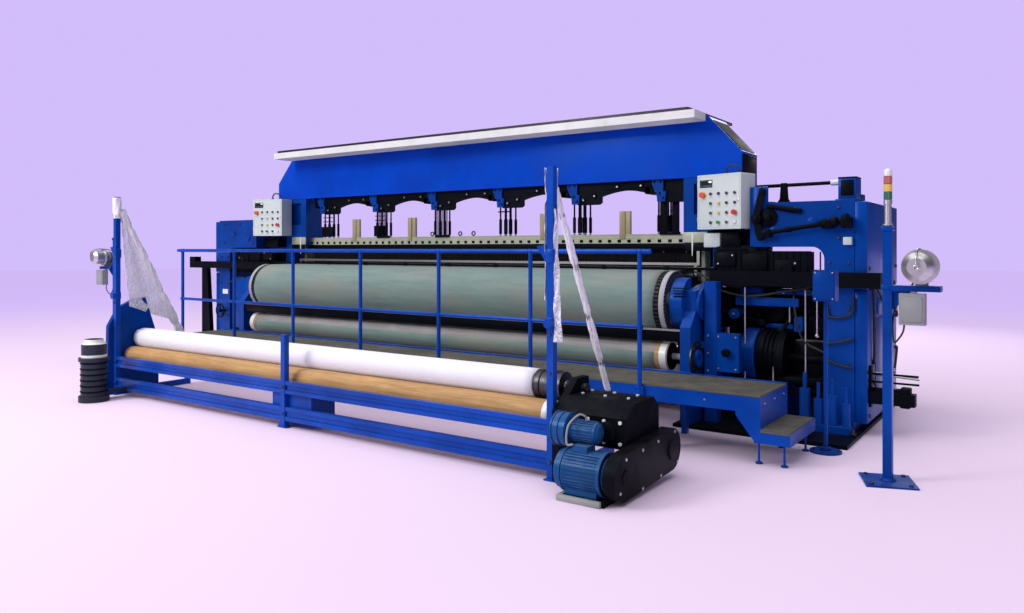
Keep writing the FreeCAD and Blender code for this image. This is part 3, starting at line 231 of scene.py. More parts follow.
def tube(path: Sequence, radius: float | Array, sides: int = 12, caps: bool = True) -> Shape:
    """A round bar carried along a path.

    At each point of the path the section stands square to the run there: its first direction
    is the run crossed with the axis that the path keeps furthest from, and its second is the
    run crossed with the first.
    """
    line = np.asarray(path, dtype=float)
    run = np.gradient(line, axis=0)
    run /= np.maximum(np.linalg.norm(run, axis=1, keepdims=True), 1e-9)
    spare = np.eye(3)[int(np.argmin(np.abs(run).max(axis=0)))]
    first = np.cross(run, spare)
    first /= np.linalg.norm(first, axis=1, keepdims=True)
    second = np.cross(run, first)
    t = np.linspace(0.0, 2 * math.pi, sides, endpoint=False)
    ring = np.cos(t)[None, :, None] * first[:, None] + np.sin(t)[None, :, None] * second[:, None]
    size = np.broadcast_to(np.asarray(radius, dtype=float), (len(line),))
    points = line[:, None, :] + size[:, None, None] * ring
    return surface(points, round_columns=True, caps=caps)


def curve(corners: Sequence, steps: int = 8) -> Array:
    """A smooth path through given points.

    Between two points it is the cubic of their places and of the runs between their
    neighbours, with each run half the difference of the neighbours' places.
    """
    p = np.asarray(corners, dtype=float)
    padded = np.concatenate([2 * p[:1] - p[1:2], p, 2 * p[-1:] - p[-2:-1]])
    t = np.linspace(0.0, 1.0, steps, endpoint=False)[None, :, None]
    a, b, c, d = (padded[i:len(p) - 1 + i, None, :] for i in range(4))
    spans = 0.5 * (2 * b + (c - a) * t + (2 * a - 5 * b + 4 * c - d) * t ** 2
                   + (3 * b - a - 3 * c + d) * t ** 3)
    return np.concatenate([spans.reshape(-1, 3), p[-1:]])


def hexagon(axis: Axis, centre: Sequence, across_flats: float, height: float) -> Shape:
    """A bolt head or nut with a turned-down face."""
    r = across_flats / math.sqrt(3)
    return lathe([(0.0, r), (height * 0.8, r), (height, r * 0.86)], axis, centre, 6)


def line_of(start: Sequence, end: Sequence, count: int) -> Array:
    """Evenly spaced places from one point to another."""
    return np.linspace(np.asarray(start, dtype=float), np.asarray(end, dtype=float), count)


# ================================================================ node graphs
class Graph:
    """Adds nodes to a shader tree and links them."""

    def __init__(self, tree: bpy.types.NodeTree) -> None:
        """Keeps the tree that the nodes go into."""
        self.tree = tree

    def add(self, kind: str, inputs: dict | None = None, **settings: object) -> bpy.types.Node:
        """Adds one node.

        Args:
            kind: the node's type without its ShaderNode prefix.
            inputs: for each socket's name or number, a value or the socket that feeds it.
            settings: the node's own properties.

        Returns:
            The new node.
        """
        node = self.tree.nodes.new("ShaderNode" + kind)
        for key, value in settings.items():
            setattr(node, key, value)
        for key, value in (inputs or {}).items():
            if isinstance(value, bpy.types.NodeSocket):
                self.tree.links.new(value, node.inputs[key])
            else:
                node.inputs[key].default_value = value
        return node

    def noise(self, vector: object, scale: object, detail: float = 4.0, rough: float = 0.55,
              distortion: float = 0.0) -> bpy.types.NodeSocket:
        """The factor of a noise texture."""
        return self.add("TexNoise", {"Vector": vector, "Scale": scale, "Detail": detail,
                                     "Roughness": rough, "Distortion": distortion}).outputs[0]

    def math(self, operation: str, a: object, b: object = 0.0, clamp: bool = False) -> bpy.types.NodeSocket:
        """One sum, product or other operation on two numbers."""
        return self.add("Math", {0: a, 1: b}, operation=operation, use_clamp=clamp).outputs[0]

    def blend(self, factor: object, a: object, b: object) -> bpy.types.NodeSocket:
        """Two colours mixed by a factor."""
        return self.add("Mix", {"Factor": factor, 6: a, 7: b}, data_type="RGBA").outputs[2]

    def spread(self, value: object, low: object, high: object, to_low: object = 0.0,
               to_high: object = 1.0) -> bpy.types.NodeSocket:
        """A value's range carried smoothly onto another."""
        return self.add("MapRange", {0: value, 1: low, 2: high, 3: to_low, 4: to_high},
                        interpolation_type="SMOOTHSTEP").outputs[0]

    def stretched(self, vector: object, scale: Sequence) -> bpy.types.NodeSocket:
        """Coordinates scaled by their own factor along each axis."""
        return self.add("Mapping", {"Vector": vector, "Scale": tuple(scale)}).outputs[0]


def rgba(colour: Colour) -> tuple:
    """A colour with full opacity."""
    return (*colour, 1.0)


class Effects:
    """Node groups for the effects that several finishes share, each built once."""

    def __init__(self) -> None:
        """Starts with no group built."""
        self.groups: dict[str, bpy.types.NodeTree] = {}

    def _start(self, name: str, inputs: dict, outputs: dict) -> tuple[Graph, dict, bpy.types.Node]:
        """Makes an empty group.

        Args:
            name: the group's name.
            inputs: each input's name with its kind and first value.
            outputs: each output's name with its kind.

        Returns:
            The graph to build in, the input sockets by name and the output node.
        """
        tree = bpy.data.node_groups.new(name, "ShaderNodeTree")
        for key, (kind, value) in inputs.items():
            socket = tree.interface.new_socket(key, in_out="INPUT", socket_type="NodeSocket" + kind)
            if value is not None:
                socket.default_value = value
        for key, kind in outputs.items():
            tree.interface.new_socket(key, in_out="OUTPUT", socket_type="NodeSocket" + kind)
        graph = Graph(tree)
        sockets = {s.name: s for s in graph.tree.nodes.new("NodeGroupInput").outputs if s.name}
        self.groups[name] = tree
        return graph, sockets, graph.tree.nodes.new("NodeGroupOutput")

    def dust(self) -> bpy.types.NodeTree:
        """Lint and dust that settle where a face looks up, in drifts of noise."""
        if "dust" not in self.groups:
            g, at, out = self._start("dust", {
                "Vector": ("Vector", None), "Colour": ("Color", (0.1, 0.1, 0.1, 1)),
                "Lint": ("Color", (0.5, 0.5, 0.46, 1)), "Amount": ("Float", 0.3)},
                {"Colour": "Color", "Mask": "Float"})
            up = g.add("SeparateXYZ", {0: g.add("NewGeometry").outputs["Normal"]}).outputs[2]
            lying = g.spread(up, 0.25, 0.95)
            drift = g.spread(g.noise(at["Vector"], 7.0, 6.0, 0.65), 0.35, 0.75)
            haze = g.math("MULTIPLY", g.spread(g.noise(at["Vector"], 2.1, 5.0), 0.4, 0.8), 0.10)
            mask = g.math("ADD", g.math("MULTIPLY", lying, drift), haze, clamp=True)
            mask = g.math("MULTIPLY", mask, at["Amount"], clamp=True)
            g.tree.links.new(g.blend(mask, at["Colour"], at["Lint"]), out.inputs["Colour"])
            g.tree.links.new(mask, out.inputs["Mask"])
        return self.groups["dust"]

    def chips(self) -> bpy.types.NodeTree:
        """Small chips and rubbed patches where the paint has gone."""
        if "chips" not in self.groups:
            g, at, out = self._start("chips", {
                "Vector": ("Vector", None), "Scale": ("Float", 30.0), "Amount": ("Float", 0.1)},
                {"Mask": "Float", "Height": "Float"})
            fine = g.noise(at["Vector"], at["Scale"], 9.0, 0.72)
            patch = g.noise(at["Vector"], g.math("MULTIPLY", at["Scale"], 0.11), 3.0)
            total = g.math("ADD", g.math("MULTIPLY", fine, 0.62), g.math("MULTIPLY", patch, 0.38))
            edge = g.math("SUBTRACT", 0.74, g.math("MULTIPLY", at["Amount"], 0.3))
            mask = g.spread(total, edge, g.math("ADD", edge, 0.02))
            g.tree.links.new(mask, out.inputs["Mask"])
            g.tree.links.new(g.math("MULTIPLY", mask, -1.0), out.inputs["Height"])
        return self.groups["chips"]

    def skin(self) -> bpy.types.NodeTree:
        """The fine relief of sprayed enamel or of a casting's sand, as a height."""
        if "skin" not in self.groups:
            g, at, out = self._start("skin", {
                "Vector": ("Vector", None), "Scale": ("Float", 200.0), "Coarse": ("Float", 0.2)},
                {"Height": "Float"})
            fine = g.noise(at["Vector"], at["Scale"], 3.0, 0.5)
            lumps = g.noise(at["Vector"], g.math("MULTIPLY", at["Scale"], 0.08), 4.0, 0.6)
            height = g.math("ADD", fine, g.math("MULTIPLY", lumps, at["Coarse"]))
            g.tree.links.new(height, out.inputs["Height"])
        return self.groups["skin"]

    def streaks(self) -> bpy.types.NodeTree:
        """Fine parallel marks, left by turning or drawing, in coordinates stretched beforehand."""
        if "streaks" not in self.groups:
            g, at, out = self._start("streaks", {"Vector": ("Vector", None), "Scale": ("Float", 1.0)},
                                     {"Tone": "Float", "Height": "Float"})
            broad = g.noise(at["Vector"], at["Scale"], 6.0, 0.7)
            g.tree.links.new(g.spread(broad, 0.3, 0.7), out.inputs["Tone"])
            g.tree.links.new(broad, out.inputs["Height"])
        return self.groups["streaks"]

    def weave(self) -> bpy.types.NodeTree:
        """A plain weave in thread units: two crossed sines, one thread over and one under."""
        if "weave" not in self.groups:
            g, at, out = self._start("weave", {"Vector": ("Vector", None)},
                                     {"Warp": "Float", "Height": "Float"})
            split = g.add("SeparateXYZ", {0: at["Vector"]})
            u, v = (g.math("SINE", g.math("MULTIPLY", split.outputs[i], math.pi)) for i in (0, 1))
            over = g.math("MULTIPLY", u, v)
            ridge = g.math("MAXIMUM", g.math("ABSOLUTE", u), g.math("ABSOLUTE", v))
            g.tree.links.new(g.spread(over, -0.2, 0.2), out.inputs["Warp"])
            g.tree.links.new(g.math("ADD", ridge, g.math("MULTIPLY", over, 0.4)), out.inputs["Height"])
        return self.groups["weave"]


EFFECTS = Effects()


class Coordinates(Enum):
    """What a finish's pattern follows."""

    OBJECT = "Object"
    SURFACE = "UV"


@dataclass(frozen=True)
class Finish:
    """A finish's name and the start of its material."""

    name: str

    def begin(self, follows: Coordinates = Coordinates.OBJECT) -> tuple:
        """Makes the material with its surface shader.

        Returns:
            The material, its graph, its shader and the coordinates that its pattern follows.
        """
        material = bpy.data.materials.new(self.name)
        material.use_nodes = True
        tree = material.node_tree
        tree.nodes.clear()
        graph = Graph(tree)
        shader = graph.add("BsdfPrincipled")
        output = graph.add("OutputMaterial")
        tree.links.new(shader.outputs[0], output.inputs[0])
        return material, graph, shader, graph.add("TexCoord").outputs[follows.value]

    def group(self, graph: Graph, tree: bpy.types.NodeTree, inputs: dict) -> bpy.types.Node:
        """Places one of the shared effects in the material."""
        node = graph.add("Group", node_tree=tree)
        for key, value in inputs.items():
            if isinstance(value, bpy.types.NodeSocket):
                graph.tree.links.new(value, node.inputs[key])
            else:
                node.inputs[key].default_value = value
        return node

    def relief(self, graph: Graph, shader: bpy.types.Node, height: object, strength: float,
               depth: float) -> None:
        """Feeds a height to the shader's normal."""
        bump = graph.add("Bump", {"Height": height, "Strength": strength, "Distance": depth})
        graph.tree.links.new(bump.outputs[0], shader.inputs["Normal"])


@dataclass(frozen=True)
class Enamel(Finish):
    """Sprayed or brushed machine paint with wear, lint and oil."""

    colour: Colour = (0.01, 0.08, 0.5)
    shade: Colour = (0.006, 0.05, 0.33)
    primer: Colour = (0.10, 0.09, 0.085)
    roughness: float = 0.32
    coat: float = 0.4
    worn: float = 0.12
    lint: float = 0.25
    grain: float = 260.0
    coarse: float = 0.4
    depth: float = 0.0006
    gloss: float = 0.3
    tint: Colour = (1.0, 1.0, 1.0)

    def material(self) -> bpy.types.Material:
        """Paint in two tones, chipped to its primer and dusted on top."""
        material, g, shader, at = self.begin()
        tone = g.spread(g.noise(at, 1.7, 6.0, 0.6), 0.3, 0.72)
        paint = g.blend(tone, rgba(self.colour), rgba(self.shade))
        stain = g.spread(g.noise(g.stretched(at, (9.0, 9.0, 1.3)), 1.0, 6.0, 0.7), 0.58, 0.8, 0.0, 0.45)
        paint = g.blend(stain, paint, rgba(tuple(c * 0.45 for c in self.shade)))
        chips = self.group(g, EFFECTS.chips(), {"Vector": at, "Scale": 34.0, "Amount": self.worn})
        paint = g.blend(chips.outputs["Mask"], paint, rgba(self.primer))
        dust = self.group(g, EFFECTS.dust(), {"Vector": at, "Colour": paint, "Amount": self.lint})
        g.tree.links.new(dust.outputs["Colour"], shader.inputs["Base Color"])
        rough = g.math("ADD", g.spread(tone, 0.0, 1.0, self.roughness * 0.8, self.roughness * 1.25),
                       g.math("MULTIPLY", dust.outputs["Mask"], 0.45), clamp=True)
        g.tree.links.new(rough, shader.inputs["Roughness"])
        shader.inputs["Specular IOR Level"].default_value = self.gloss
        shader.inputs["Specular Tint"].default_value = rgba(self.tint)
        shader.inputs["Coat Weight"].default_value = self.coat
        shader.inputs["Coat Roughness"].default_value = 0.12
        skin = self.group(g, EFFECTS.skin(), {"Vector": at, "Scale": self.grain, "Coarse": self.coarse})
        height = g.math("ADD", skin.outputs["Height"], chips.outputs["Height"])
        self.relief(g, shader, height, 0.35, self.depth)
        return material


@dataclass(frozen=True)
class Metal(Finish):
    """Bare metal, turned, drawn or ground, with a little tarnish."""

    colour: Colour = (0.60, 0.60, 0.58)
    tarnish: Colour = (0.24, 0.22, 0.19)
    roughness: float = 0.3
    grain: tuple = (260.0, 5.0, 5.0)
    dull: float = 0.35

    def material(self) -> bpy.types.Material:
        """Streaked metal that tarnishes in patches."""
        material, g, shader, at = self.begin()
        marks = self.group(g, EFFECTS.streaks(), {"Vector": g.stretched(at, self.grain)})
        patch = g.spread(g.noise(at, 9.0, 7.0, 0.66), 0.42, 0.78, 0.0, self.dull)
        bright = g.blend(marks.outputs["Tone"], rgba(self.colour), rgba(tuple(c * 0.8 for c in self.colour)))
        g.tree.links.new(g.blend(patch, bright, rgba(self.tarnish)), shader.inputs["Base Color"])
        shader.inputs["Metallic"].default_value = 1.0
        rough = g.math("ADD", g.spread(marks.outputs["Tone"], 0.0, 1.0, self.roughness, self.roughness + 0.1),
                       g.math("MULTIPLY", patch, 0.4), clamp=True)
        g.tree.links.new(rough, shader.inputs["Roughness"])
        self.relief(g, shader, marks.outputs["Height"], 0.2, 0.0003)
        return material


@dataclass(frozen=True)
class Woven(Finish):
    """Cloth or laid yarn whose threads follow the surface's own UV map, in metres."""

    warp: Colour = (0.40, 0.44, 0.37)
    weft: Colour = (0.46, 0.49, 0.42)
    pitch: tuple = (0.004, 0.004)
    band: tuple = (2.0, 0.5)
    contrast: float = 0.3
    shine: float = 0.1
    cast: Colour | None = None

    def material(self) -> bpy.types.Material:
        """Threads in a plain weave, with uneven bands across the piece and slubs along it."""
        material, g, shader, at = self.begin(Coordinates.SURFACE)
        threads = g.stretched(at, (1 / self.pitch[0], 1 / self.pitch[1], 1.0))
        weave = self.group(g, EFFECTS.weave(), {"Vector": threads})
        cloth = g.blend(weave.outputs["Warp"], rgba(self.warp), rgba(self.weft))
        bands = g.noise(g.stretched(at, (self.band[0], self.band[1], 1.0)), 6.0, 7.0, 0.7)
        uneven = g.spread(bands, 0.35, 0.7, 0.0, self.contrast)
        cloth = g.blend(uneven, cloth, rgba(tuple(c * 0.62 for c in self.warp)))
        if self.cast:
            drift = g.noise(g.stretched(at, (0.25, 1.1, 1.0)), 3.0, 3.0)
            cloth = g.blend(g.spread(drift, 0.45, 0.65, 0.0, 0.55), cloth, rgba(self.cast))
        slub = g.noise(g.stretched(at, (90.0, 3.0, 1.0)), 2.0, 4.0)
        cloth = g.blend(g.spread(slub, 0.6, 0.8, 0.0, 0.25), cloth, rgba(self.weft))
        g.tree.links.new(cloth, shader.inputs["Base Color"])
        rough = g.spread(bands, 0.3, 0.7, 0.68, 0.86)
        g.tree.links.new(rough, shader.inputs["Roughness"])
        shader.inputs["Sheen Weight"].default_value = self.shine
        height = g.math("ADD", weave.outputs["Height"], g.math("MULTIPLY", slub, 0.8))
        self.relief(g, shader, height, 0.5, 0.0008)
        return material


@dataclass(frozen=True)
class Wound(Finish):
    """Yarn wound side by side on a beam: rings round X at the yarn's own pitch."""

    colour: Colour = (0.56, 0.56, 0.49)
    shade: Colour = (0.33, 0.33, 0.28)
    pitch: float = 0.006

    def material(self) -> bpy.types.Material:
        """Light and dark rings by a sine of X, uneven from beam to beam of noise."""
        material, g, shader, at = self.begin()
        x = g.add("SeparateXYZ", {0: at}).outputs[0]
        ring = g.math("SINE", g.math("MULTIPLY", x, 2 * math.pi / self.pitch))
        uneven = g.noise(g.stretched(at, (40.0, 1.5, 1.5)), 1.0, 6.0, 0.7)
        tone = g.math("ADD", g.math("MULTIPLY", ring, 0.25), uneven)
        g.tree.links.new(g.blend(g.spread(tone, 0.2, 0.8), rgba(self.shade), rgba(self.colour)),
                         shader.inputs["Base Color"])
        g.tree.links.new(g.spread(uneven, 0.3, 0.7, 0.7, 0.9), shader.inputs["Roughness"])
        shader.inputs["Sheen Weight"].default_value = 0.25
        self.relief(g, shader, ring, 0.5, 0.001)
        return material


@dataclass(frozen=True)
class Covering(Finish):
    """Cork, sized board or timber: a ground colour with grain drawn along one axis."""

    colour: Colour = (0.44, 0.27, 0.12)
    fleck: Colour = (0.23, 0.12, 0.05)
    grain: tuple = (3.0, 60.0, 60.0)
    roughness: float = 0.6
    contrast: float = 0.7

    def material(self) -> bpy.types.Material:
        """Long grain crossed by small dark flecks."""
        material, g, shader, at = self.begin()
        grain = g.noise(g.stretched(at, self.grain), 1.0, 8.0, 0.68, 0.4)
        ground = g.blend(g.spread(grain, 0.35, 0.68, 0.0, self.contrast), rgba(self.colour), rgba(self.fleck))
        flecks = g.spread(g.noise(at, 120.0, 3.0), 0.6, 0.72, 0.0, 0.5)
        ground = g.blend(flecks, ground, rgba(self.fleck))
        worn = g.spread(g.noise(at, 2.4, 5.0), 0.45, 0.75, 0.0, 0.35)
        ground = g.blend(worn, ground, rgba(tuple(min(1.0, c * 1.6) for c in self.colour)))
        g.tree.links.new(ground, shader.inputs["Base Color"])
        rough = g.spread(grain, 0.3, 0.7, self.roughness * 0.85, min(1.0, self.roughness * 1.2))
        g.tree.links.new(rough, shader.inputs["Roughness"])
        self.relief(g, shader, grain, 0.4, 0.001)
        return material


@dataclass(frozen=True)
class Plastic(Finish):
    """Moulded plastic or rubber with a faint stipple."""

    colour: Colour = (0.02, 0.02, 0.022)
    roughness: float = 0.35
    coat: float = 0.0
    glow: float = 0.0
    stipple: float = 500.0

    def material(self) -> bpy.types.Material:
        """One colour that fades a little in patches, with finger marks in its gloss."""
        material, g, shader, at = self.begin()
        fade = g.spread(g.noise(at, 11.0, 5.0, 0.6), 0.4, 0.75, 0.0, 0.35)
        faded = rgba(tuple(min(1.0, c * 1.35 + 0.01) for c in self.colour))
        colour = g.blend(fade, rgba(self.colour), faded)
        g.tree.links.new(colour, shader.inputs["Base Color"])
        marks = g.spread(g.noise(at, 26.0, 6.0, 0.7), 0.35, 0.7, self.roughness * 0.8,
                         min(1.0, self.roughness * 1.4))
        g.tree.links.new(marks, shader.inputs["Roughness"])
        shader.inputs["Coat Weight"].default_value = self.coat
        if self.glow:
            g.tree.links.new(colour, shader.inputs["Emission Color"])
            shader.inputs["Emission Strength"].default_value = self.glow
        self.relief(g, shader, g.noise(at, self.stipple, 2.0), 0.15, 0.0003)
        return material


@dataclass(frozen=True)
class Film(Finish):
    """Crumpled polythene film: milky, with a sharp gloss broken by creases."""

    colour: Colour = (0.86, 0.88, 0.93)
    creases: float = 26.0
    clear: float = 0.0

    def material(self) -> bpy.types.Material:
        """Creases as ridges of a distorted noise, denser and whiter along them."""
        material, g, shader, at = self.begin()
        fold = g.noise(g.stretched(at, (1.0, 1.0, 0.45)), self.creases, 5.0, 0.6, 1.6)
        ridge = g.math("ABSOLUTE", g.math("SUBTRACT", fold, 0.5))
        line = g.spread(ridge, 0.0, 0.07, 1.0, 0.0)
        colour = g.blend(line, rgba(self.colour), (0.97, 0.98, 1.0, 1.0))
        shaded = g.blend(g.spread(fold, 0.45, 0.8, 0.0, 0.4), colour, (0.58, 0.62, 0.74, 1.0))
        g.tree.links.new(shaded, shader.inputs["Base Color"])
        g.tree.links.new(g.spread(fold, 0.3, 0.7, 0.14, 0.4), shader.inputs["Roughness"])
        if self.clear:
            veil = g.spread(line, 0.0, 1.0, 1.0 - self.clear, 0.95)
            g.tree.links.new(veil, shader.inputs["Alpha"])
        self.relief(g, shader, g.math("ADD", ridge, fold), 0.8, 0.006)
        return material


@dataclass(frozen=True)
class PaleFloor(Finish):
    """A plain pale studio floor that meets the surround's colour far away."""

    colour: Colour = (0.81, 0.66, 0.83)
    far: Colour = (0.72, 0.57, 1.0)

    def material(self) -> bpy.types.Material:
        """Almost even, with a breath of variation so that it isn't dead flat."""
        material, g, shader, at = self.begin()
        tone = g.spread(g.noise(at, 0.4, 4.0), 0.3, 0.7, 0.0, 0.3)
        near = g.blend(tone, rgba(self.colour), rgba(tuple(c * 0.97 for c in self.colour)))
        reach = g.add("VectorMath", {0: at}, operation="LENGTH").outputs["Value"]
        g.tree.links.new(g.blend(g.spread(reach, 5.0, 20.0), near, rgba(self.far)),
                         shader.inputs["Base Color"])
        shader.inputs["Specular IOR Level"].default_value = 0.0
        g.tree.links.new(g.spread(tone, 0.0, 1.0, 0.55, 0.7), shader.inputs["Roughness"])
        return material


class Look(Enum):
    """Every finish on the loom."""

    GANTRY = Enamel("gantry_enamel", (0.002, 0.072, 0.62), (0.001, 0.048, 0.46), roughness=0.22,
                    coat=0.10, worn=0.02, lint=0.05, grain=120.0, coarse=0.9, depth=0.0004,
                    gloss=0.45, tint=(0.10, 0.35, 1.0))
    FRAME = Enamel("frame_enamel", (0.002, 0.058, 0.36), (0.001, 0.034, 0.22), (0.02, 0.022, 0.03),
                   roughness=0.34, coat=0.04, worn=0.08, lint=0.07, grain=150.0, coarse=1.1,
                   gloss=0.3, tint=(0.12, 0.35, 1.0))
    RAIL = Enamel("rail_enamel", (0.003, 0.066, 0.44), (0.002, 0.040, 0.28), (0.03, 0.03, 0.04),
                  roughness=0.32, coat=0.06, worn=0.08, lint=0.06, gloss=0.35, tint=(0.15, 0.4, 1.0))
    TEAL = Enamel("motor_enamel", (0.009, 0.085, 0.27), (0.005, 0.052, 0.17), (0.03, 0.03, 0.035),
                  roughness=0.38, coat=0.05, worn=0.10, lint=0.14, coarse=1.0, gloss=0.3,
                  tint=(0.35, 0.6, 1.0))
    BLACK = Enamel("black_casting", (0.0035, 0.0038, 0.006), (0.0015, 0.0018, 0.003), (0.03, 0.028, 0.028),
                   roughness=0.50, coat=0.0, worn=0.06, lint=0.015, grain=120.0, coarse=1.4, depth=0.0009,
                   gloss=0.09, tint=(0.6, 0.75, 1.0))
    PANEL = Enamel("panel_enamel", (0.66, 0.75, 0.72), (0.56, 0.66, 0.63), (0.32, 0.34, 0.33),
                   roughness=0.42, coat=0.1, worn=0.04, lint=0.12)
    BOX_GREY = Enamel("box_enamel", (0.33, 0.35, 0.34), (0.25, 0.27, 0.27), (0.14, 0.14, 0.14),
                      roughness=0.5, coat=0.0, worn=0.08, lint=0.2)
    CREAM = Enamel("cream_enamel", (0.47, 0.50, 0.37), (0.36, 0.39, 0.29), (0.18, 0.17, 0.13),
                   roughness=0.45, coat=0.1, worn=0.10, lint=0.20)
    LAMP_WHITE = Enamel("lamp_enamel", (0.80, 0.82, 0.78), (0.66, 0.69, 0.66), (0.40, 0.40, 0.38),
                        roughness=0.38, coat=0.2, worn=0.03, lint=0.2)
    ROOF = Enamel("roof_enamel", (0.012, 0.016, 0.024), (0.008, 0.010, 0.016), roughness=0.45,
                  coat=0.2, worn=0.03, lint=0.09)
    TREAD = Enamel("tread_plate", (0.108, 0.100, 0.076), (0.070, 0.067, 0.054), (0.04, 0.036, 0.03),
                   roughness=0.62, coat=0.0, worn=0.20, lint=0.10, gloss=0.2, grain=60.0, coarse=2.0,
                   depth=0.0018)
    STEEL = Metal("turned_steel", (0.62, 0.63, 0.62), (0.26, 0.24, 0.21), 0.24, (240.0, 6.0, 6.0), 0.30)
    BAR_STEEL = Metal("drawn_steel", (0.55, 0.55, 0.54), (0.20, 0.18, 0.16), 0.32, (60.0, 60.0, 3.0), 0.45)
    DARK_STEEL = Metal("blackened_steel", (0.10, 0.10, 0.11), (0.05, 0.045, 0.04), 0.38,
                       (90.0, 9.0, 9.0), 0.50)
    DRUM = Metal("drum_metal", (0.34, 0.35, 0.35), (0.14, 0.13, 0.12), 0.42, (180.0, 12.0, 12.0), 0.5)
    ZINC = Metal("zinc_plate", (0.70, 0.71, 0.72), (0.42, 0.41, 0.38), 0.34, (30.0, 30.0, 30.0), 0.35)
    STRAP = Woven("webbing_strap", (0.40, 0.41, 0.44), (0.50, 0.51, 0.54), (0.003, 0.003), (1.0, 1.0), 0.5)
    GRIP = Covering("roller_grip", (0.30, 0.28, 0.28), (0.17, 0.16, 0.17), (1.2, 60.0, 60.0), 0.8, 0.5)
    SLATE = Enamel("slate_enamel", (0.016, 0.026, 0.044), (0.009, 0.015, 0.026), (0.03, 0.03, 0.03),
                   roughness=0.42, coat=0.05, worn=0.10, lint=0.08, grain=140.0, coarse=1.0, gloss=0.3)
    CORK = Covering("roller_cork", (0.50, 0.29, 0.11), (0.27, 0.14, 0.05), (2.0, 40.0, 40.0), 0.66)
    WOOD = Covering("pale_timber", (0.40, 0.35, 0.20), (0.24, 0.18, 0.09), (30.0, 30.0, 1.6), 0.58, 0.6)
    CLOTH = Woven("loom_cloth", (0.175, 0.265, 0.235), (0.205, 0.300, 0.270), (0.004, 0.004), (0.3, 2.4),
                  0.40, cast=(0.28, 0.27, 0.22))
    WHITE_CLOTH = Woven("batch_cloth", (0.80, 0.80, 0.86), (0.86, 0.86, 0.91), (0.005, 0.005),
                        (0.5, 1.0), 0.12)
    WARP = Woven("warp_threads", (0.42, 0.42, 0.37), (0.32, 0.32, 0.28), (0.006, 2.0), (3.0, 0.05), 0.4)
    WARP_WOUND = Wound("wound_warp")
    RUBBER = Plastic("black_rubber", (0.012, 0.012, 0.013), 0.55)
    BLACK_PLASTIC = Plastic("black_plastic", (0.016, 0.016, 0.018), 0.30, 0.3)
    WHITE_PLASTIC = Plastic("white_plastic", (0.78, 0.79, 0.76), 0.34, 0.2)
    RED = Plastic("red_plastic", (0.62, 0.030, 0.012), 0.28, 0.6)
    ORANGE = Plastic("orange_red_plastic", (0.78, 0.085, 0.015), 0.28, 0.6)
    YELLOW = Plastic("yellow_plastic", (0.74, 0.50, 0.03), 0.28, 0.6)
    GREEN = Plastic("green_plastic", (0.02, 0.24, 0.06), 0.28, 0.6)
    DARK_GREEN = Plastic("dark_green_plastic", (0.012, 0.05, 0.03), 0.28, 0.6)
    AMBER = Plastic("amber_lens", (0.72, 0.48, 0.09), 0.16, 0.9, 0.15)
    RED_LENS = Plastic("red_lens", (0.46, 0.13, 0.11), 0.16, 0.9, 0.12)
    GREEN_LENS = Plastic("green_lens", (0.035, 0.15, 0.09), 0.16, 0.9, 0.12)
    TUBE = Plastic("lamp_tube", (0.88, 0.92, 0.90), 0.18, 0.5, 0.35)
    SCREEN = Plastic("screen_glass", (0.01, 0.022, 0.02), 0.08, 1.0)
    FILM = Film("wrapping_film")
    VEIL = Film("loose_film", (0.82, 0.86, 0.93), 18.0, 0.5)
    FLOOR = PaleFloor("pale_floor")

    def dressed(self) -> bpy.types.Material:
        """The finish's material, made the first time that it is asked for."""
        if self.name not in MATERIALS:
            MATERIALS[self.name] = self.value.material()
        return MATERIALS[self.name]


MATERIALS: dict[str, bpy.types.Material] = {}


# ================================================================ sub-assemblies
@dataclass
class SubAssembly:
    """Sizes as fields, and methods that make the pieces and dress them."""

    made: list = field(default_factory=list, init=False)

    def add(self, name: str, shape: Shape, look: Look, body: str = "root",
            slot: str = "machine_black", sharp: float = 35.0) -> bpy.types.Object:
        """Makes one piece from a shape, dresses it and puts it on its body.

        Args:
            name: the piece's name.
            shape: its surface, placed in the loom's frame.
            look: its finish.
            body: the body that it rides on.
            slot: not used.
            sharp: the angle between faces, in degrees, from which an edge stays sharp.

        Returns:
            The new object.
        """
        mesh = bpy.data.meshes.new(name)
        mesh.from_pydata(shape.points.tolist(), [], shape.faces)
        if shape.uv is not None:
            corners = np.empty(len(mesh.loops), dtype=np.int32)
            mesh.loops.foreach_get("vertex_index", corners)
            layer = mesh.uv_layers.new(name="threads")
            layer.data.foreach_set("uv", shape.uv[corners].astype(np.float32).ravel())
        work = bmesh.new()
        work.from_mesh(mesh)
        bmesh.ops.recalc_face_normals(work, faces=work.faces)
        work.to_mesh(mesh)
        work.free()
        mesh.shade_smooth()
        mesh.set_sharp_from_angle(angle=math.radians(sharp))
        mesh.materials.append(look.dressed())
        piece = bpy.data.objects.new(name, mesh)
        bpy.context.scene.collection.objects.link(piece)
        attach(piece, body)
        self.made.append(name)
        return piece

    def thicken(self, piece: bpy.types.Object, thickness: float, offset: float = 0.0) -> None:
        """Gives an open sheet its wall."""
        wall = piece.modifiers.new("wall", "SOLIDIFY")
        wall.thickness = thickness
        wall.offset = offset

    def dress(self, look: Look, *nodes: str) -> None:
        """Gives CAD nodes a finish through their own material slots."""
        for name in nodes:
            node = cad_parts[name]
            if not node.material_slots:
                node.data.materials.append(look.dressed())
            for place in node.material_slots:
                place.material = look.dressed()
            self.made.append(name)

    def build(self) -> None:
        """Makes every piece of the sub-assembly."""
        raise NotImplementedError

    def report(self) -> None:
        """Builds, then logs each piece."""
        self.build()
        for name in self.made:
            log.info("%s: %s", type(self).__name__, name)


